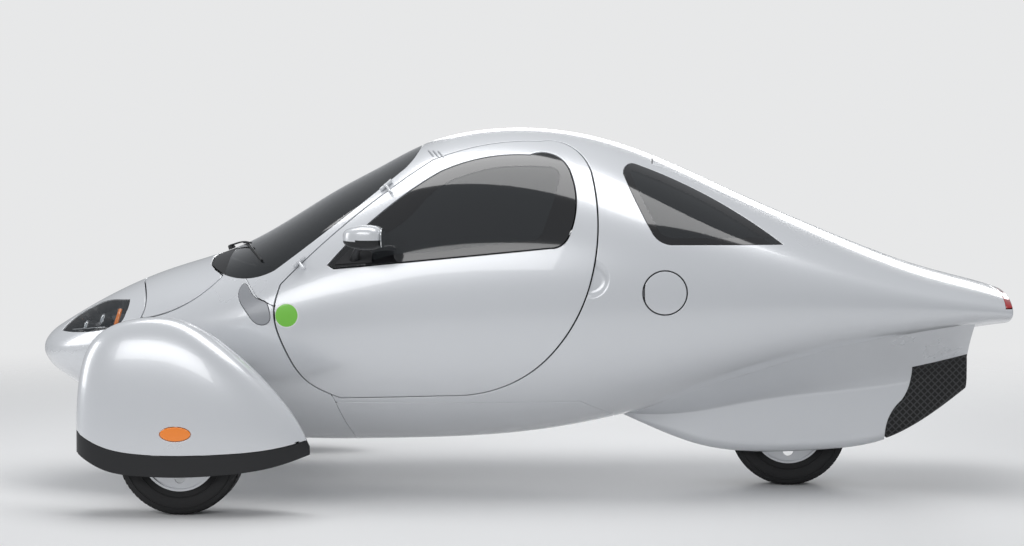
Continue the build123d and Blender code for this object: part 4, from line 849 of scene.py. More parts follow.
def regions(cover):
    """Which panel each triangle of the body belongs to."""
    middle, domain = cover["middle"], cover["domain"]
    side = middle[:, [0, 2]]
    upper = domain[:, 1] > 0
    part = np.full(len(middle), "main_body", dtype=object)
    part[inside(SPLIT, side)] = "front_body"
    part[inside(BELLY, side) & ~inside(SPLIT, side)] = "belly_pan"
    part[inside(HOOD_LINE, domain)] = "hood"
    hatch = (middle[:, 0] > HATCH_X) & (middle[:, 0] < HATCH_END) & upper
    part[hatch & (np.abs(middle[:, 1]) < HATCH_HALF) & inside(
        np.vstack([HATCH_LINE, [middle_spot(HATCH_X)]]), domain)] = "hatch"
    screen = inside(SCREEN_LINE, domain)
    part[screen] = "windscreen"
    part[screen & (domain[:, 0] < COWL_A)] = "cowl"
    part[(middle[:, 0] > LAMP_X) & (middle[:, 2] > LAMP_Z) & upper] = "tail_lamp"
    part[inside(DOOR, side)] = "door"
    part[inside(WINDOW, side)] = "door_glass"
    part[inside(QUARTER, side)] = "quarter"
    part[inside(LAMP, side)] = "headlamp"
    part[inside(VENT, side) & (part != "door")] = "vent"
    well = (np.abs(middle[:, 0] - REAR_X) < WELL_LONG) & (np.abs(middle[:, 1]) < WELL_HALF)
    part[well & (middle[:, 2] < WELL_TOP)] = "rear_wheel_well"
    return part


LEFT, RIGHT = outer_cover(True), outer_cover(False)
LEFT_PART, RIGHT_PART = regions(LEFT), regions(RIGHT)
flap_zone = inside(circle(FLAP), LEFT["middle"][:, [0, 2]])
LEFT_PART[flap_zone] = np.where(LEFT["middle"][flap_zone, 0] > FLAP_CHORD, "charge_flap",
                                "flap_hinge_gap")


def scooped(places, normals):
    """Pushes in the half-moon behind the door's edge."""
    x, z, radius = SCOOP
    away = np.hypot(places[:, 0] - x, places[:, 2] - z)
    share = np.clip((radius - away) / SCOOP_FALL, 0, 1)
    deep = SCOOP_DEPTH * share * share * (3 - 2 * share)
    lean = SCOOP_LEAN * share * (1 - share) / np.maximum(away, 1e-6)
    way = np.column_stack([(places[:, 0] - x), 0 * away, (places[:, 2] - z)])
    return places - normals * deep[:, None], unit_rows(normals - way * lean[:, None])


side = LEFT["middle"][:, [0, 2]]
DISC_SLOTS = np.where(inside(circle(DISC), side), 2, 3 * inside(circle(DISC, DISC_RING), side))
WINDOW_SLOTS = 1 - inside(WINDOW_CLEAR, side)
QUARTER_SLOTS = 1 - inside(QUARTER_CLEAR, side)
SHELL = {"gap": SEAM, "edge": 0.0022}
LID = {"thickness": 0.020, "gap": SHUT_LINE, "edge": 0.003}
PANE = {"thickness": 0.004, "gap": SEAM, "edge": 0.001, "sink": 0.0015}
# Panels over both halves: name, part, materials, body, slot, how it's cut
for name, part, materials, body, slot, how in (
        ("nose_and_sills", "front_body", [PAINT, TRIM], "body", "body_paint", SHELL),
        ("cabin_and_tail_shell", "main_body", [PAINT, TRIM], "body", "body_paint",
         {**SHELL, "move": scooped}),
        ("belly_panel", "belly_pan", [PAINT, TRIM], "body", "body_paint", SHELL),
        ("hood_panel", "hood", [PAINT, TRIM], "hood", "body_paint", LID),
        ("hatch_panel", "hatch", [PAINT, TRIM], "hatch", "body_paint", LID),
        ("cowl_panel", "cowl", [BLACK, BLACK], "body", "black_plastic",
         {"thickness": 0.010, "gap": SEAM, "edge": 0.0015, "sink": 0.002}),
        ("windscreen_glass", "windscreen", [SCREEN_GLASS, GLOSS_BLACK], "body", "clear_glass",
         {"thickness": 0.005, "gap": SEAM, "edge": 0.001, "sink": 0.001, "inner_slot": 0}),
        ("tail_light_bar", "tail_lamp", [RED, BLACK], "body", "red_lens",
         {"thickness": 0.020, "gap": SEAM, "edge": 0.004, "sink": 0.001})):
    left = cut_panel(LEFT, LEFT_PART == part, **how)
    right = cut_panel(RIGHT, RIGHT_PART == part, **how).mirrored()
    placed(made_object(name, left.joined(right), materials), body, [part])
# Panels with a mirrored copy: name, part, materials, body, nodes, slot, how it's cut
for name, part, materials, body, nodes, slot, how in (
        ("door_shell", "door", [PAINT, TRIM, GREEN, WHITE], "door_*", ["door_*"], "body_paint",
         {**LID, "thickness": DOOR_DEPTH, "slots": DISC_SLOTS}),
        ("door_window", "door_glass", [GLASS, GLOSS_BLACK], "door_*", ["door_glass_*"],
         "clear_glass", {**PANE, "slots": WINDOW_SLOTS}),
        ("rear_side_window", "quarter", [GLASS, GLOSS_BLACK], "body", ["quarter_window_*"],
         "clear_glass", {**PANE, "slots": QUARTER_SLOTS}),
        ("lamp_cover", "headlamp", [LAMP_GLASS, LAMP_GLASS], "body", ["headlamp_cover_*"],
         "lamp_glass", {"thickness": 0.003, "gap": SEAM, "edge": 0.0015, "sink": 0.0005}),
        ("lower_vent_plate", "vent", [GREY, TRIM], "body", [], "black_plastic",
         {"thickness": 0.008, "gap": 0.0015, "edge": 0.002, "sink": -0.0005})):
    shown_pair(name, cut_panel(LEFT, LEFT_PART == part, halves=False, **how), materials, body,
               nodes)
flap = cut_panel(LEFT, LEFT_PART == "charge_flap", thickness=0.010, gap=SHUT_LINE, edge=0.002,
                 halves=False)
placed(made_object("charge_flap_disc", flap, [PAINT, TRIM]), "charge_flap", ["charge_flap"])


# ---- Front wheel pants ----
SKIRT_TOP, SKIRT_LOW = [
    smooth_loop([(AXLE_X * 1000 + x, z) for x, z in line], closed=False) for line in (
        [(-500, 392), (-400, 331), (-300, 290), (-180, 270), (-46, 264), (160, 268), (380, 284),
         (480, 302), (600, 335)],
        [(-500, 300), (-400, 238), (-300, 194), (-160, 175), (11, 171), (210, 182), (400, 208),
         (500, 236), (600, 270)])]
MARKER = (AXLE_X, 0.356, 0.066, 0.031)       # the side marker's middle and half sizes
marker_turn = np.linspace(0, 2 * math.pi, 48, endpoint=False)
OVAL = np.column_stack([MARKER[0] + MARKER[2] * np.cos(marker_turn),
                        MARKER[1] + MARKER[3] * np.sin(marker_turn)])
ARM_GAP = np.array([(AXLE_X - 0.18, 0.10), (AXLE_X - 0.18, 0.46), (AXLE_X + 0.18, 0.46),
                    (AXLE_X + 0.18, 0.10)])
pant_curves = [(pant_skin.side(line, inboard), False) for inboard in (False, True)
               for line in (SKIRT_TOP, SKIRT_LOW)]
pant_curves += [(pant_skin.side(OVAL), True), (pant_skin.side(straight_points(ARM_GAP), True), False)]
PANT_COVER = triangulated(pant_skin, pant_curves, (0.0, -pant_skin.girth * math.pi / 2 * 0.98),
                          (pant_skin.along[-1], pant_skin.girth * math.pi * 1.49), 0.026)
pant_side = PANT_COVER["middle"][:, [0, 2]]
outboard = PANT_COVER["middle"][:, 1] < -HALF_TRACK
over, over_low = [pant_side[:, 1] > np.interp(pant_side[:, 0], line[:, 0], line[:, 1])
                  for line in (SKIRT_TOP, SKIRT_LOW)]
arm_zone, marker_zone = ~outboard & inside(ARM_GAP, pant_side), outboard & inside(OVAL, pant_side)
covered = ~arm_zone & ~marker_zone
for name, zone, colors, thickness, edge, sink, node_name, slot in (
        ("wheel_fairing", over & covered, [PAINT, BLACK], 0.010, 0.003, 0, "wheel_pant_*",
         "body_paint"),
        ("wheel_fairing_skirt", over_low & ~over & covered, [BLACK, BLACK], 0.008, 0.003, 0.0015,
         "pant_skirt_*", "black_plastic"),
        ("amber_side_marker", marker_zone, [AMBER, BLACK], 0.008, 0.004, -0.0015,
         "side_marker_*", "amber_lens")):
    shown_pair(name, cut_panel(PANT_COVER, zone, thickness=thickness, gap=SEAM, edge=edge,
                               sink=sink, halves=False),
               colors, "knuckle_*", [node_name])


# ---- Rear fairing ----
MOUTH = np.vstack([
    straight_points([(1.787, 0.561), (2.0435, 0.617)]),
    straight_points([(2.30, 0.617), (2.30, 0.10), (1.673, 0.10), (1.673, 0.222)])[:-1],
    traced((1673, 222), [(1690, 330), (1745, 405)], [(1778, 470), (1787, 561)], closed=False)])
mouth_edge = fairing_skin.side(np.vstack([
    straight_points([(2.041, 0.6165), (1.787, 0.561)])[:-1],
    traced((1787, 561), [(1778, 470), (1745, 405)], [(1690, 330), (1673, 222)], closed=False)]))
mouth_edge = np.vstack([mouth_edge, [[mouth_edge[-1][0], 1.0]]])
SLOT_LOW, SLOT_HIGH, SLOT_SHARE = REAR_X - 0.270, REAR_X + 0.270, 0.905
slot_low, slot_high = [fairing_skin.along_of(x) for x in (SLOT_LOW, SLOT_HIGH)]
slot_line = domain_line((slot_low, 1.0), (slot_low, SLOT_SHARE), (slot_high, SLOT_SHARE),
                        (slot_high, 1.0))
FAIR = triangulated(fairing_skin, [(mouth_edge, False), (slot_line, False)], (0.0, 0.0),
                    (fairing_skin.along[-1], 1.0), 0.022)
fair_side = FAIR["middle"][:, [0, 2]]
in_mouth = inside(MOUTH, fair_side)
in_slot = (FAIR["domain"][:, 1] > SLOT_SHARE) & (fair_side[:, 0] > SLOT_LOW) \
    & (fair_side[:, 0] < SLOT_HIGH)
for name, zone, thickness, sink, colors, node_name, slot in (
        ("keel_fairing", ~in_mouth & ~in_slot, 0.010, 0.0, [PAINT, BLACK], "rear_fairing",
         "body_paint"),
        ("keel_vent_mesh", in_mouth, 0.008, 0.002, [MESH_DARK, MESH_DARK], "rear_mouth",
         "black_plastic")):
    half = cut_panel(FAIR, zone, thickness=thickness, gap=0.0004, edge=0.002, sink=sink)
    placed(made_object(name, half.joined(half.mirrored()), colors), "body", [node_name])


# ---- Small solid shapes, each as its places and its faces ----
def frame_at(way):
    """A way of length one, and two directions square to it and to each other."""
    way = np.array(way, float) / np.linalg.norm(way)
    helper = np.array([0, 0, 1.0]) if abs(way[2]) < 0.9 else np.array([1.0, 0, 0])
    first = np.cross(helper, way)
    first = first / np.linalg.norm(first)
    return way, first, np.cross(way, first)


def bands(rings, count):
    """The faces between rings of points that each close on themselves."""
    return [(i * count + j, i * count + (j + 1) % count, (i + 1) * count + (j + 1) % count,
             (i + 1) * count + j) for i in range(rings - 1) for j in range(count)]


def lofted(rings):
    """A closed shape through rings of points, with flat ends."""
    rings = [np.array(ring, float) for ring in rings]
    count = len(rings[0])
    places = np.vstack(rings + [rings[0].mean(axis=0)[None], rings[-1].mean(axis=0)[None]])
    faces = bands(len(rings), count)
    start, end, last = len(places) - 2, len(places) - 1, (len(rings) - 1) * count
    for j in range(count):
        k = (j + 1) % count
        faces += [(start, k, j), (end, last + j, last + k)]
    return places, faces


def turned(profile, spot, way, steps=48):
    """A lathe shape: (distance along the way, radius) rows turned round the way."""
    way, first, second = frame_at(way)
    angles = np.linspace(0, 2 * math.pi, steps, endpoint=False)
    places = [np.array(spot) + way * d + r * (math.cos(a) * first + math.sin(a) * second)
              for d, r in profile for a in angles]
    return np.array(places), bands(len(profile), steps)


def swept(points, radii, sides=16, flat=1.0):
    """A bar along points; flat squashes it in its second direction."""
    points = np.array(points, float)
    radii = np.full(len(points), radii) if np.isscalar(radii) else np.array(radii)
    angles = np.linspace(0, 2 * math.pi, sides, endpoint=False)
    rings, reference = [], None
    for point, way, radius in zip(points, np.gradient(points, axis=0), radii):
        way, first, second = frame_at(way)
        if reference is not None:
            first = reference - way * float(reference @ way)
            first = first / np.linalg.norm(first)
            second = np.cross(way, first)
        reference = first
        rings.append([point + radius * (math.cos(a) * first + flat * math.sin(a) * second)
                      for a in angles])
    return lofted(rings)


def leaned(places, lean):
    """The places turned about the car's cross axis."""
    c, s = math.cos(lean), math.sin(lean)
    return np.column_stack([places[:, 0] * c + places[:, 2] * s, places[:, 1],
                            places[:, 2] * c - places[:, 0] * s])


def pillow(size, spot, lean=0.0, squareness=0.35, steps=(40, 28)):
    """A rounded block: half sizes, its middle, and its lean in degrees."""
    ups = np.linspace(-math.pi / 2, math.pi / 2, steps[1])
    arounds = np.linspace(-math.pi, math.pi, steps[0], endpoint=False)
    places = []
    for up in ups:
        wide, high = power_of(math.cos(up), squareness), power_of(math.sin(up), squareness)
        places += [(wide * power_of(math.cos(around), squareness),
                    wide * power_of(math.sin(around), squareness), high) for around in arounds]
    return (leaned(np.array(places) * size, math.radians(lean)) + np.array(spot),
            bands(steps[1], steps[0]))


def bar(start, end, radius, sides=20):
    """A round pin with softened ends."""
    start, end = np.array(start, float), np.array(end, float)
    way, soft = end - start, min(0.0015, radius * 0.3)
    long = float(np.linalg.norm(way))
    return turned([(0, 0.0), (0, radius - soft), (soft, radius), (long - soft, radius),
                   (long, radius - soft), (long, 0.0)], start, way, sides)


def box(low, high, soft=0.0015):
    """A block with small chamfers."""
    low, high = np.array(low, float), np.array(high, float)
    middle, half = (low + high) / 2, (high - low) / 2
    rings = []
    for z, inset in ((-1, soft), (-1, 0), (1, 0), (1, soft)):
        lift = half[2] - (soft if inset == 0 else 0)
        x, y = half[0] - inset, half[1] - inset
        corners = [(-x, -y + soft), (-x + soft, -y), (x - soft, -y), (x, -y + soft),
                   (x, y - soft), (x - soft, y), (-x + soft, y), (-x, y - soft)]
        rings.append([(a, b, z * lift) for a, b in corners])
    places, faces = lofted(rings)
    return places + middle, faces


def piece_of(name, shapes, materials, body, nodes=(), slots=None, sharp=40):
    """One piece of closed shapes on its body; slots gives each shape's material number."""
    places, faces, numbers, base = [], [], [], 0
    for number, (spots, rows) in enumerate(shapes):
        places += [tuple(spot) for spot in spots]
        faces += [tuple(base + int(i) for i in row) for row in rows]
        numbers += [slots[number] if slots else 0] * len(rows)
        base += len(spots)
    mesh = filled_mesh(name, places, faces, numbers, materials)
    shape = bmesh.new()
    shape.from_mesh(mesh)
    bmesh.ops.remove_doubles(shape, verts=shape.verts, dist=1e-6)
    bmesh.ops.recalc_face_normals(shape, faces=shape.faces)
    shape.to_mesh(mesh)
    shape.free()
    if sharp is not None:
        mesh.set_sharp_from_angle(angle=math.radians(sharp))
    mesh.update()
    return placed(linked(name, mesh), body, nodes)


def pair(name, shapes, materials, body, nodes=(), slots=None, sharp=40):
    """A left piece and its mirrored copy; * in a body or a node stands for the side."""
    for side, flip in (("left", 1), ("right", -1)):
        copies = [(spots * np.array([1, flip, 1]), [tuple(row)[::flip] for row in rows])
                  for spots, rows in shapes]
        piece_of(f"{name}_{side}", copies, materials, body.replace("*", side),
                 [node.replace("*", side) for node in nodes], slots, sharp)


def skin_spot(x, z=None, y=None, out=0.0):
    """A point on the left skin from its side view or plan, moved out, and the normal there."""
    uv = hull_skin.side([(x, z)]) if z is not None else hull_skin.plan([(x, y)])
    normal = hull_skin.normals(uv)[0]
    return hull_skin.point(uv)[0] + normal * out, normal


def route(*places, step):
    """A smooth route through places in metres."""
    return smooth_loop([tuple(np.array(place) * 1000) for place in places], closed=False, step=step)


# ---- Headlamps ----
def lamp_tray(depth=0.050, sunk=0.006):
    """The dark bowl behind the clear cover: its walls and its floor."""
    faces = LEFT["faces"][LEFT_PART == "headlamp"]
    used, back = np.unique(faces, return_inverse=True)
    faces, count = back.reshape(faces.shape), len(used)
    top = LEFT["places"][used] - LEFT["normals"][used] * sunk
    rows = [tuple(row + count) for row in faces]
    rows += [(a, b, b + count, a + count) for a, b in rim_of(faces)]
    return np.vstack([top, top - LEFT["normals"][used] * depth]), rows


def projector(name, x, z, radius):
    """A round lamp unit: black tube, bright ring and a domed lens."""
    spot, normal = skin_spot(x, z, out=-0.046)
    way = normal * 0.55 + np.array([-0.75, -0.25, 0.05])
    tube = [(-0.012, radius * 0.9), (0.020, radius), (0.024, radius), (0.024, radius * 0.86)]
    ring = [(0.012, radius * 0.86), (0.027, radius * 0.86), (0.027, radius * 0.70),
            (0.006, radius * 0.62)]
    dome = [(0.006 + 0.020 * math.cos(a), radius * 0.66 * math.sin(a))
            for a in np.linspace(math.pi / 2, 0.02, 10)]
    pair(name, [turned(profile, spot, way) for profile in (tube, ring, dome)],
         [BLACK, CHROME, LENS], "body", slots=(0, 1, 2))


def lamp_strip(name, points, width, height, sink, material):
    """A bar that follows the skin along side-view points."""
    line = [skin_spot(x, z, out=-sink)[0] for x, z in points]
    pair(name, [swept(line, width, 12, height / width)], [material], "body")


pair("headlamp_bowl", [lamp_tray()], [GLOSS_BLACK], "body", ["headlamp_*"])
projector("outer_projector", -1.958, 0.766, 0.029)
projector("inner_projector", -1.872, 0.797, 0.031)
lamp_strip("lamp_amber_strip", [(-1.806 + 0.009 * math.sin(1.6 * t), 0.758 + 0.077 * t)
                                for t in np.linspace(0, 1, 10)], 0.010, 0.008, 0.024, AMBER)
lamp_strip("lamp_light_blade", [(x, 0.735 + (x + 2.03) * 0.10)
                                for x in np.linspace(-2.030, -1.850, 14)],
           0.006, 0.004, 0.020, CHROME)


# ---- Mirrors ----
MIRROR, MIRROR_HALF = np.array([-0.630, -0.806, 1.168]), (0.086, 0.096, 0.053)
FOOT_PLATE = [(-775, 1040), (-720, 1096), (-655, 1150), (-610, 1092), (-610, 1052)]


def mirror_shapes():
    """Head, its light cap apart from its dark shell, then glass and stalk."""
    places, faces = pillow(MIRROR_HALF, MIRROR, squareness=0.55, steps=(56, 40))
    taper = 1 - 0.28 * np.clip((MIRROR[0] - places[:, 0]) / MIRROR_HALF[0], 0, 1)
    for axis in (1, 2):
        places[:, axis] = MIRROR[axis] + (places[:, axis] - MIRROR[axis]) * taper
    high = [places[list(face), 2].mean() > MIRROR[2] - 0.012 for face in faces]
    halves = [(places, [face for face, up in zip(faces, high) if up == wanted])
              for wanted in (True, False)]
    glass = pillow((0.004, 0.080, 0.042), MIRROR + [0.084, 0, 0], squareness=0.5, steps=(40, 16))
    foot, _ = skin_spot(-0.690, 1.070, out=-0.004)
    stalk = swept([foot + [0.0, 0.010, -0.01], foot + [0.012, -0.050, 0.020],
                   foot + [0.030, -0.110, 0.055], MIRROR + [0.0, 0.035, -0.035]],
                  [0.026, 0.017, 0.014, 0.020], 20, 0.7)
    return halves + [glass, stalk]


def foot_plate(corners, height):
    """A thin plate lying on the door's skin inside side-view corners."""
    loop = traced(corners[0], *[[corner] for corner in corners[1:] + corners[:1]])
    uv = hull_skin.side(loop)
    cover = triangulated(hull_skin, [(uv, True)], tuple(uv.min(axis=0) - 0.01),
                         tuple(uv.max(axis=0) + 0.01), 0.02)
    return cut_panel(cover, inside(loop, cover["middle"][:, [0, 2]]), thickness=height + 0.004,
                     gap=0, edge=0.0025, sink=-height, halves=False)


pair("door_mirror", mirror_shapes(), [PAINT, BLACK, CHROME], "door_*", ["mirror_*"],
     slots=(0, 1, 2, 1), sharp=60)
shown_pair("mirror_foot_plate", foot_plate(FOOT_PLATE, 0.006), [BLACK, BLACK], "door_*", [])


# ---- Wiper ----
def along_glass(places, out, radius, sides, flat=1.0):
    """A bar over the windscreen, through places in plan."""
    line = route(*[skin_spot(x, y=y, out=out)[0] for x, y in places], step=0.03)
    return swept(line, radius, sides, flat)


wiper_arm = along_glass([(-1.330, 0.02), (-1.285, 0.10), (-1.235, 0.20), (-1.190, 0.30)],
                        0.017, 0.006, 12, 0.6)
wiper_blade = along_glass([(-1.268, 0.05), (-1.235, 0.17), (-1.200, 0.30), (-1.160, 0.41),
                           (-1.115, 0.50)], 0.007, 0.0055, 10)
wiper_cap = turned([(0.0, 0.017), (0.016, 0.016), (0.021, 0.012), (0.022, 0.0)],
                   *skin_spot(-1.330, y=0.02), 32)
piece_of("screen_wiper", [wiper_arm, wiper_blade, wiper_cap], [BLACK], "body", ["wiper"])


# ---- Hinges ----
DOOR_LINE = np.array([(-0.939, -0.604746, 1.053), (-0.569, -0.440983, 1.384)])
KNUCKLE, KNUCKLE_R = 0.022, 0.009            # length and radius of a hinge's middle knuckle
PIN_R, STUD_R, PLAY = 0.005, 0.006, 0.0004
line_way = (DOOR_LINE[1] - DOOR_LINE[0]) / np.linalg.norm(DOOR_LINE[1] - DOOR_LINE[0])
fixed, moving = [], []
for pivot in DOOR_LINE:
    for half, radius in ((KNUCKLE / 2, KNUCKLE_R), (KNUCKLE * 1.5, PIN_R)):
        moving.append(bar(pivot - line_way * half, pivot + line_way * half, radius))
    head = skin_spot(pivot[0] + 0.025, pivot[2] - 0.027)[0]
    knee = head - [0, 0.023, 0]
    moving.append(swept(route(pivot, pivot * 0.5 + knee * 0.5 - [0, 0.001, 0], knee,
                              (knee + head) / 2, head + [0, 0.020, 0], step=0.004), STUD_R))
    for end in (-1, 1):
        near = pivot + line_way * end * (KNUCKLE / 2 + PLAY)
        far = pivot + line_way * end * KNUCKLE * 1.5
        fixed.append(bar(near, far, KNUCKLE_R))
        fixed.append(bar((near + far) / 2, (near + far) / 2 + [0, 0.063, 0], STUD_R))
pair("door_hinge_pin", moving, [PAINT], "door_*")
pair("door_hinge_knuckle", fixed, [PAINT], "body")

NECK_R, NECK_HALF = 0.1193, 0.007            # bend of a lid's neck, and half its thickness
EAR, EAR_R = 0.008, 0.014                    # thickness and radius of the ears beside it
LIDS = [
    # lid, pivot, slope of the skin in degrees, distance of the necks from the middle
    ("hood", HOOD_HINGE, 23, 0.110),
    ("hatch", HATCH_HINGE, -21, 0.190),
]
for lid, (x, z), slope, y in LIDS:
    turn = np.radians(np.linspace(-56, 30, 24) + slope)
    arc = np.column_stack([x + NECK_R * np.cos(turn), 0 * turn - y, z + NECK_R * np.sin(turn)])
    spoke = np.linspace([x, -y, z], arc[0], 8)
    pair(f"{lid}_gooseneck", [swept(arc, NECK_HALF, 16, 1.29), swept(spoke, NECK_HALF, 16, 1.2),
                              bar((x, -y - 0.0155, z), (x, -y + 0.0155, z), PIN_R)],
         [ARM_METAL], lid)
    ears, top = [], skin_spot(x, y=-y)[0][2] - 0.024
    for way in (-1, 1):
        low, high = sorted((-y + way * (NECK_HALF + PLAY), -y + way * (NECK_HALF + PLAY + EAR)))
        ears += [box((x - EAR_R, low, z - 0.010), (x + EAR_R, high, top)),
                 bar((x, low, z), (x, high, z), EAR_R)]
    pair(f"{lid}_hinge_ear", ears, [TRIM], "body")

FLAP_HINGE = np.array([0.565, -0.6748, 0.924])
piece_of("charge_flap_hinge", [
    bar(FLAP_HINGE - [0, 0, 0.018], FLAP_HINGE + [0, 0, 0.018], PIN_R),
    box(FLAP_HINGE + [0, -0.003, -0.018], FLAP_HINGE + [0.040, 0.004, 0.018], 0.001)],
    [TRIM], "charge_flap")


# ---- Charge pocket ----
def pocket(floor_y=-0.636, wall=0.004):
    """The cup behind the charge flap, from the skin's underside to its flat floor."""
    loop = circle(FLAP, -wall, 72)
    uv = hull_skin.side(loop)
    rim = hull_skin.point(uv) - hull_skin.normals(uv) * 0.013
    centre = np.array([FLAP[0], floor_y, FLAP[1]])
    floor = np.column_stack([loop[:, 0], np.full(len(loop), floor_y), loop[:, 1]])
    inner = centre + (floor - centre) * 0.94
    outward = unit_rows((rim - centre) * [1, 0, 1]) * wall
    return lofted([floor + [0, wall, 0], rim + outward, rim, (rim + inner) / 2, inner,
                   inner * 0.97 + centre * 0.03])


piece_of("charge_pocket", [pocket()], [TRIM], "body")


# ---- Cabin ----
FLOOR_TOP = 0.380
SEAT_Y, SEAT_X = -0.235, -0.120
PADS = [
    # pad, half sizes, middle from the seat's place, lean in degrees, channels over its width
    ("seat_cushion", (0.172, 0.150, 0.050), (-0.115, 0.142), -6, (-0.5, 0.0, 0.5)),
    ("seat_back", (0.245, 0.145, 0.046), (0.155, 0.425), -70, (-0.5, 0.0, 0.5)),
    ("seat_head_rest", (0.068, 0.115, 0.040), (0.300, 0.672), -74, ()),
]
ROLLS = [
    # roll, middle from the seat's place, lean in degrees, half length
    ("seat_side_roll", (-0.110, 0.165), -6, 0.175),
    ("back_side_roll", (0.135, 0.400), -70, 0.200),
]
SQUARE, CROWN, PULL, GROOVE = 0.42, 0.10, 0.05, 0.007


def cushion(size, spot, lean, channels):
    """A stuffed pad: crowned, its sides drawn in, with sewn channels across its width."""
    places, faces = pillow((1, 1, 1), (0, 0, 0), squareness=SQUARE, steps=(88, 56))
    x, y, z = places.T
    lift = z * (1 + CROWN * (1 - x * x) * (1 - y * y))
    for channel in channels:
        lift = lift - np.where(z > 0, GROOVE / size[2], 0) * np.exp(-((y - channel) / 0.035) ** 2)
    drawn = [x * (1 - PULL * (1 - y * y) * (1 - z * z)), y * (1 - PULL * (1 - x * x) * (1 - z * z)),
             lift]
    return leaned(np.column_stack(drawn) * size, math.radians(lean)) + spot, faces


def piping(size, spot, lean):
    """The welt round a pad's widest line."""
    turn = np.linspace(0, 2 * math.pi, 72)
    x, y = power_of(np.cos(turn), SQUARE), power_of(np.sin(turn), SQUARE)
    line = np.column_stack([x * (1 - PULL * (1 - y ** 2)) * size[0],
                            y * (1 - PULL * (1 - x ** 2)) * size[1], 0 * x])
    return swept(leaned(line, math.radians(lean)) + spot, 0.003, 8)


def seat(side, y):
    """A seat's pads with their piping, its side rolls, and the shell that carries them."""
    def at(x, z, across=0.0):
        return np.array([SEAT_X + x, y + across, FLOOR_TOP + z])

    for name, size, (x, z), lean, channels in PADS:
        pad = piece_of(f"{name}_{side}", [cushion(size, at(x, z), lean, channels)], [FABRIC],
                       "body", [f"seat_{side}"] if name == "seat_cushion" else (),
                       sharp=None)
        piece_of(f"{name}_piping_{side}", [piping(size, at(x, z), lean)], [PIPING], "body",
                 sharp=None)
    for name, (x, z), lean, reach in ROLLS:
        rolls = [pillow((reach, 0.034, 0.048), at(x, z, way * 0.168), lean, 0.6, (56, 32))
                 for way in (-1, 1)]
        piece_of(f"{name}_{side}", rolls, [FABRIC], "body", sharp=None)
    shell = pillow((0.250, 0.178, 0.026), at(0.185, 0.400), -70, 0.35, (64, 24))
    pan = pillow((0.180, 0.178, 0.030), at(-0.115, 0.090), -5, 0.35, (64, 24))
    plinth = box(at(-0.220, 0.001, -0.140), at(0.110, 0.080, 0.140), 0.006)
    posts = [bar(at(0.285, 0.560, way * 0.05), at(0.303, 0.650, way * 0.05), 0.006)
             for way in (-1, 1)]
    piece_of(f"seat_shell_{side}", [shell, pan, plinth, *posts], [DASH, METAL], "body",
             slots=(0, 0, 0, 1, 1))


seat("left", SEAT_Y)
seat("right", -SEAT_Y)


# ---- Steering wheel and dashboard ----
WHEEL_AT, WHEEL_WAY = np.array([-0.640, SEAT_Y, 0.925]), np.array([-0.9, 0, -0.42])
WHEEL_R, GRIP, SPOKE_FROM, SPOKE_LONG = 0.178, 0.013, 0.030, 0.143
unit, across_first, across_second = frame_at(WHEEL_WAY)
grip = turned([(GRIP * math.cos(t), WHEEL_R + GRIP * math.sin(t))
               for t in np.linspace(0, 2 * math.pi, 17)], WHEEL_AT, WHEEL_WAY, 96)
hub = turned([(-0.012, 0.0), (-0.012, 0.030), (-0.006, 0.046), (0.012, 0.050), (0.030, 0.040),
              (0.034, 0.0)], WHEEL_AT, WHEEL_WAY, 40)
spokes = []
for turn in np.radians([0, 180, 270]):
    out = across_first * math.cos(turn) + across_second * math.sin(turn)
    line = [WHEEL_AT + out * (SPOKE_FROM + SPOKE_LONG * t) + unit * 0.012 * (1 - t)
            for t in np.linspace(0, 1, 12)]
    spokes.append(swept(line, np.linspace(0.020, 0.012, 12), 20, 0.42))
column = bar(WHEEL_AT + unit * 0.03, WHEEL_AT + unit * 0.20, 0.030, 32)
piece_of("steering_wheel_ring", [grip, hub, *spokes, column], [BLACK, DASH], "body",
         ["steering_wheel"], slots=(0, 1, 1, 1, 1, 0))
pod = pillow((0.048, 0.125, 0.034), (-0.862, SEAT_Y, 0.992), 8, 0.5, (56, 32))
dial = pillow((0.003, 0.098, 0.021), (-0.8155, SEAT_Y, 0.996), 8, 0.4, (40, 16))
screen = box((-0.826, -0.105, 0.978), (-0.814, 0.105, 1.078), 0.003)
face = box((-0.8142, -0.098, 0.985), (-0.8128, 0.098, 1.071), 0.0005)
piece_of("instrument_pod", [pod, dial, screen, face], [DASH, GLOSS_BLACK], "body",
         slots=(0, 1, 0, 1))
outlets = []
for y in (-0.43, -0.06, 0.06, 0.43):
    spot = np.array([-0.815, y, 0.916])
    outlets.append(turned([(-0.004, 0.026), (0.006, 0.030), (0.008, 0.027), (0.002, 0.024),
                           (-0.002, 0.0)], spot, (0.95, 0, -0.31), 40))
    for lift in (-0.012, -0.004, 0.004, 0.012):
        half = math.sqrt(0.024 ** 2 - lift ** 2)
        outlets.append(box(spot + [-0.002, -half, lift - 0.001], spot + [0.005, half, lift + 0.001],
                           0.0004))
piece_of("dashboard_outlets", outlets, [BLACK], "body")
rest = pillow((0.170, 0.030, 0.024), (-0.300, -0.640, 0.880), -2, 0.5, (56, 32))
pull = swept(route((-0.160, -0.628, 0.960), (-0.170, -0.600, 0.965), (-0.260, -0.596, 0.985),
                   (-0.350, -0.600, 0.995), (-0.362, -0.628, 0.995), step=0.01), 0.009, 16)
pair("door_arm_rest", [rest, pull], [DASH], "door_*")


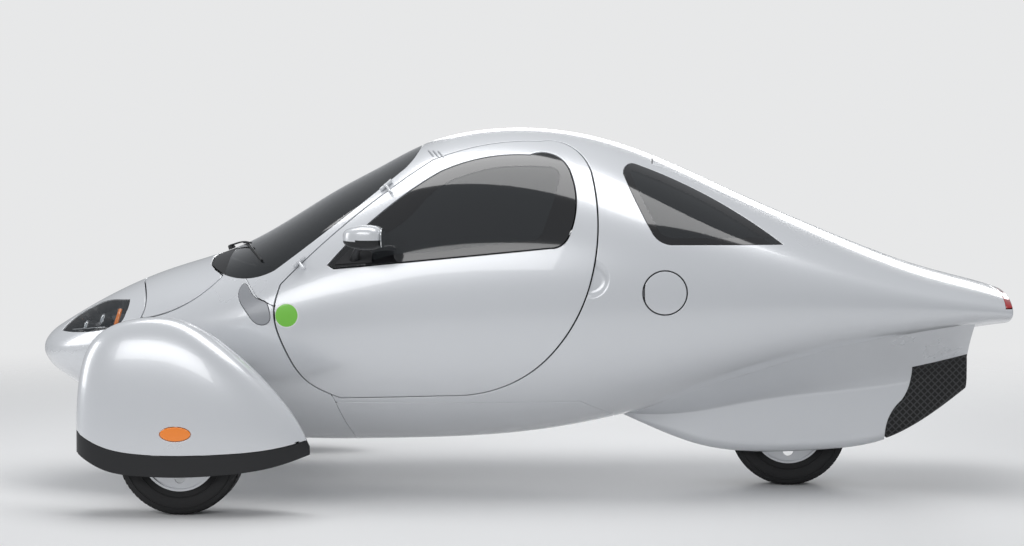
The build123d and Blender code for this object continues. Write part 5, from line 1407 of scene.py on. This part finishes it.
# ---- Louvres on the roof's front corners, and door seals ----
louvres = []
for step in range(3):
    line = [skin_spot(-0.398 + 0.024 * step + 0.034 * t, 1.5390 - 0.002 * step - 0.030 * t,
                      out=-0.0015)[0] for t in np.linspace(0, 1, 8)]
    louvres.append(swept(line, [0.002] + [0.0045] * 6 + [0.002], 12))
pair("roof_louvre", louvres, [GREY], "body")

SEAL_R, SEAL_DEPTH = 0.010, 0.052
seal_uv = hull_skin.side(np.vstack([DOOR, DOOR[:2]]))
seal_line = hull_skin.point(seal_uv) - hull_skin.normals(seal_uv) * SEAL_DEPTH
pair("door_seal", [swept(seal_line[::4], SEAL_R, 10)], [RUBBER], "body", sharp=60)


# ---- Tyres ----
def tread_tree():
    """Rows of blocks round a tyre: the sizes and the numbers are the group's inputs."""
    tree, given = node_group("tyre_tread_blocks", "GeometryNodeTree", [
        ("Blocks", "Int", 72), ("Rows", "Int", 5), ("Radius", "Float", TYRE_R),
        ("Row Pitch", "Float", 0.0225), ("Block Size", "Vector", (0.008, 0.0195, 0.0185)),
        ("Skew", "Float", 0.30), ("Place", "Vector", (0, 0, 0)), ("Material", "Material", None)],
        [("Geometry", "Geometry")])

    def times(first, second):
        return maths(tree, "MULTIPLY", first, second)

    def vector(**parts):
        return node(tree, "ShaderNodeCombineXYZ", parts)

    def instances(points, instance, rotation):
        return node(tree, "GeometryNodeInstanceOnPoints",
                    {"Points": points, "Instance": instance, "Rotation": rotation})

    block = node(tree, "GeometryNodeMeshCube", {"Size": given["Block Size"]})
    height = node(tree, "ShaderNodeSeparateXYZ", {0: given["Block Size"]})
    radius = maths(tree, "SUBTRACT", given["Radius"], times(height, 0.5))
    ring = node(tree, "GeometryNodeMeshCircle", {"Vertices": given["Blocks"], "Radius": radius})
    turn = times(node(tree, "GeometryNodeInputIndex", {}),
                 maths(tree, "DIVIDE", 2 * math.pi, given["Blocks"]))
    row = instances(ring, block, vector(X=given["Skew"], Z=turn))
    gaps = times(maths(tree, "SUBTRACT", given["Rows"], 1), -0.5)
    line = node(tree, "GeometryNodeMeshLine", {
        "Count": given["Rows"], "Offset": vector(Z=given["Row Pitch"]),
        "Start Location": vector(Z=times(given["Row Pitch"], gaps))})
    rows = instances(line, row, vector(Z=times(turn, 0.5)))
    real = node(tree, "GeometryNodeRealizeInstances", {0: rows})
    stand = node(tree, "GeometryNodeTransform", {
        "Geometry": real, "Rotation": (math.pi / 2, 0, 0), "Translation": given["Place"]})
    dress = node(tree, "GeometryNodeSetMaterial", {"Geometry": stand, "Material": given["Material"]})
    node(tree, "NodeGroupOutput", {"Geometry": dress})
    return tree


def grown_mesh(name, tree, values):
    """The tree's result as a plain mesh object."""
    holder = linked(name + "_source", bpy.data.meshes.new(name + "_source"))
    modifier = holder.modifiers.new("blocks", "NODES")
    modifier.node_group = tree
    for item in tree.interface.items_tree:
        if item.in_out == "INPUT" and item.name in values:
            modifier[item.identifier] = values[item.name]
    bpy.context.view_layer.update()
    graph = bpy.context.evaluated_depsgraph_get()
    mesh = bpy.data.meshes.new_from_object(holder.evaluated_get(graph))
    mesh.name = name
    bpy.data.objects.remove(holder)
    return linked(name, mesh)


TREAD = tread_tree()
# Tyre section: distance from its middle, and radius
CARCASS = [(-0.058, 0.2595), (-0.030, 0.2608), (0.0, 0.2612), (0.030, 0.2608), (0.058, 0.2595),
           (0.066, 0.2560), (0.0725, 0.2460), (0.0765, 0.2300), (0.0775, 0.2140), (0.0755, 0.1960),
           (0.0700, 0.1800), (0.0660, 0.1720), (0.0640, 0.1665), (0.0560, 0.1655)]
CARCASS = CARCASS + [(-d, r) for d, r in reversed(CARCASS[5:])] + CARCASS[:1]
RIBS = [[(s * 0.0755, r + 0.0025), (s * 0.0785, r), (s * 0.0755, r - 0.0025)]
        for s in (-1, 1) for r in (0.2380, 0.1900)]
for wheel, tyre_node, x, y in (("left", "front_tyre_left", AXLE_X, -HALF_TRACK),
                               ("right", "front_tyre_right", AXLE_X, HALF_TRACK),
                               ("rear", "rear_tyre", REAR_X, 0)):
    spot = (x, y, TYRE_R)
    piece_of(f"tyre_carcass_{wheel}", [turned(line, spot, (0, 1, 0), 120) for line in [CARCASS] + RIBS],
             [RUBBER], f"wheel_{wheel}", [tyre_node], sharp=50)
    placed(grown_mesh(f"tyre_tread_{wheel}", TREAD, {"Place": spot, "Material": RUBBER}),
           f"wheel_{wheel}")


# ---- CAD pieces that stay, with better finishes ----
KEPT = {
    "front_arms": ARM_METAL, "knuckle": ARM_METAL, "front_subframe": ARM_METAL,
    "swingarm": ARM_METAL, "rim": METAL, "battery": CASE, "floor_pan": CARPET,
    "bulkhead": CARPET, "charge_socket": DASH, "dashboard": DASH,
}
for name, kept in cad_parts.items():
    for key, material in KEPT.items():
        if key in name:
            kept.data.materials.clear()
            kept.data.materials.append(material)


# ---- Stage, lights and camera ----
FLOOR_HALF, FLOOR_Z = 9, -0.001
FLOOR = finish_of("pale_studio_floor", (0.80, 0.80, 0.80), 0.65, **EVEN)
floor_tree = FLOOR.node_tree
far = node(floor_tree, "ShaderNodeVectorMath",
           {0: node(floor_tree, "ShaderNodeTexCoord", {}, "Object")}, "Value", operation="LENGTH")
fade = node(floor_tree, "ShaderNodeMapRange", {"Value": far, "From Min": 3.2, "From Max": 7.5,
                                               "To Min": 1.0, "To Max": 0.0},
            interpolation_type="SMOOTHSTEP")
fill(floor_tree, floor_tree.nodes["Principled BSDF"], {"Alpha": fade})
mesh = bpy.data.meshes.new("studio_floor")
mesh.from_pydata([(x * FLOOR_HALF, y * FLOOR_HALF, 0) for x, y in ((-1, -1), (1, -1), (1, 1), (-1, 1))],
                 [], [(0, 1, 2, 3)])
mesh.materials.append(FLOOR)
floor = linked("studio_floor", mesh)
floor.location = (0, 0, FLOOR_Z)


def aimed(thing, spot, aim):
    """Puts a light or a camera in its place, looking at its aim."""
    thing.location = spot
    thing.rotation_mode = "QUATERNION"
    thing.rotation_quaternion = (Vector(aim) - Vector(spot)).to_track_quat("-Z", "Y")


for name, spot, aim, size, power in (
        ("overhead_softbox", (-0.2, -0.3, 5.2), (0, 0, 0.5), (6.5, 2.4), 165),
        ("front_side_softbox", (-2.5, -7.5, 3.8), (0, 0, 0.6), (6.0, 2.4), 130),
        ("far_side_softbox", (1.5, 7.0, 3.2), (0, 0, 0.8), (6.0, 2.0), 130),
        ("nose_strip", (-6.5, -1.5, 2.2), (-1.5, 0, 0.6), (2.0, 3.0), 60)):
    data = bpy.data.lights.new(name, "AREA")
    data.shape, data.size, data.size_y = "RECTANGLE", *size
    data.energy = power
    aimed(linked(name, data), spot, aim)
scene = bpy.context.scene
world = bpy.data.worlds.new("studio")
scene.world = world
world.use_nodes = True
sky = world.node_tree
background = sky.nodes["Background"]
fill(sky, background, {"Color": (0.90, 0.93, 0.97, 1), "Strength": 0.42})
shown = node(sky, "ShaderNodeBackground", {"Color": (0.80, 0.805, 0.81, 1)})
seen = node(sky, "ShaderNodeLightPath", {}, "Is Camera Ray")
mix = node(sky, "ShaderNodeMixShader", {0: seen, 1: background.outputs[0], 2: shown})
fill(sky, sky.nodes["World Output"], {0: mix})

camera = bpy.data.cameras.new("camera")
camera.lens, camera.sensor_width = 83.885, 36
camera.clip_end = 200
view = linked("camera", camera)
aimed(view, (0.538, -11.0, 1.636), (-0.0318, 0, 0.9683))
scene.camera = view
scene.view_settings.view_transform = "Standard"
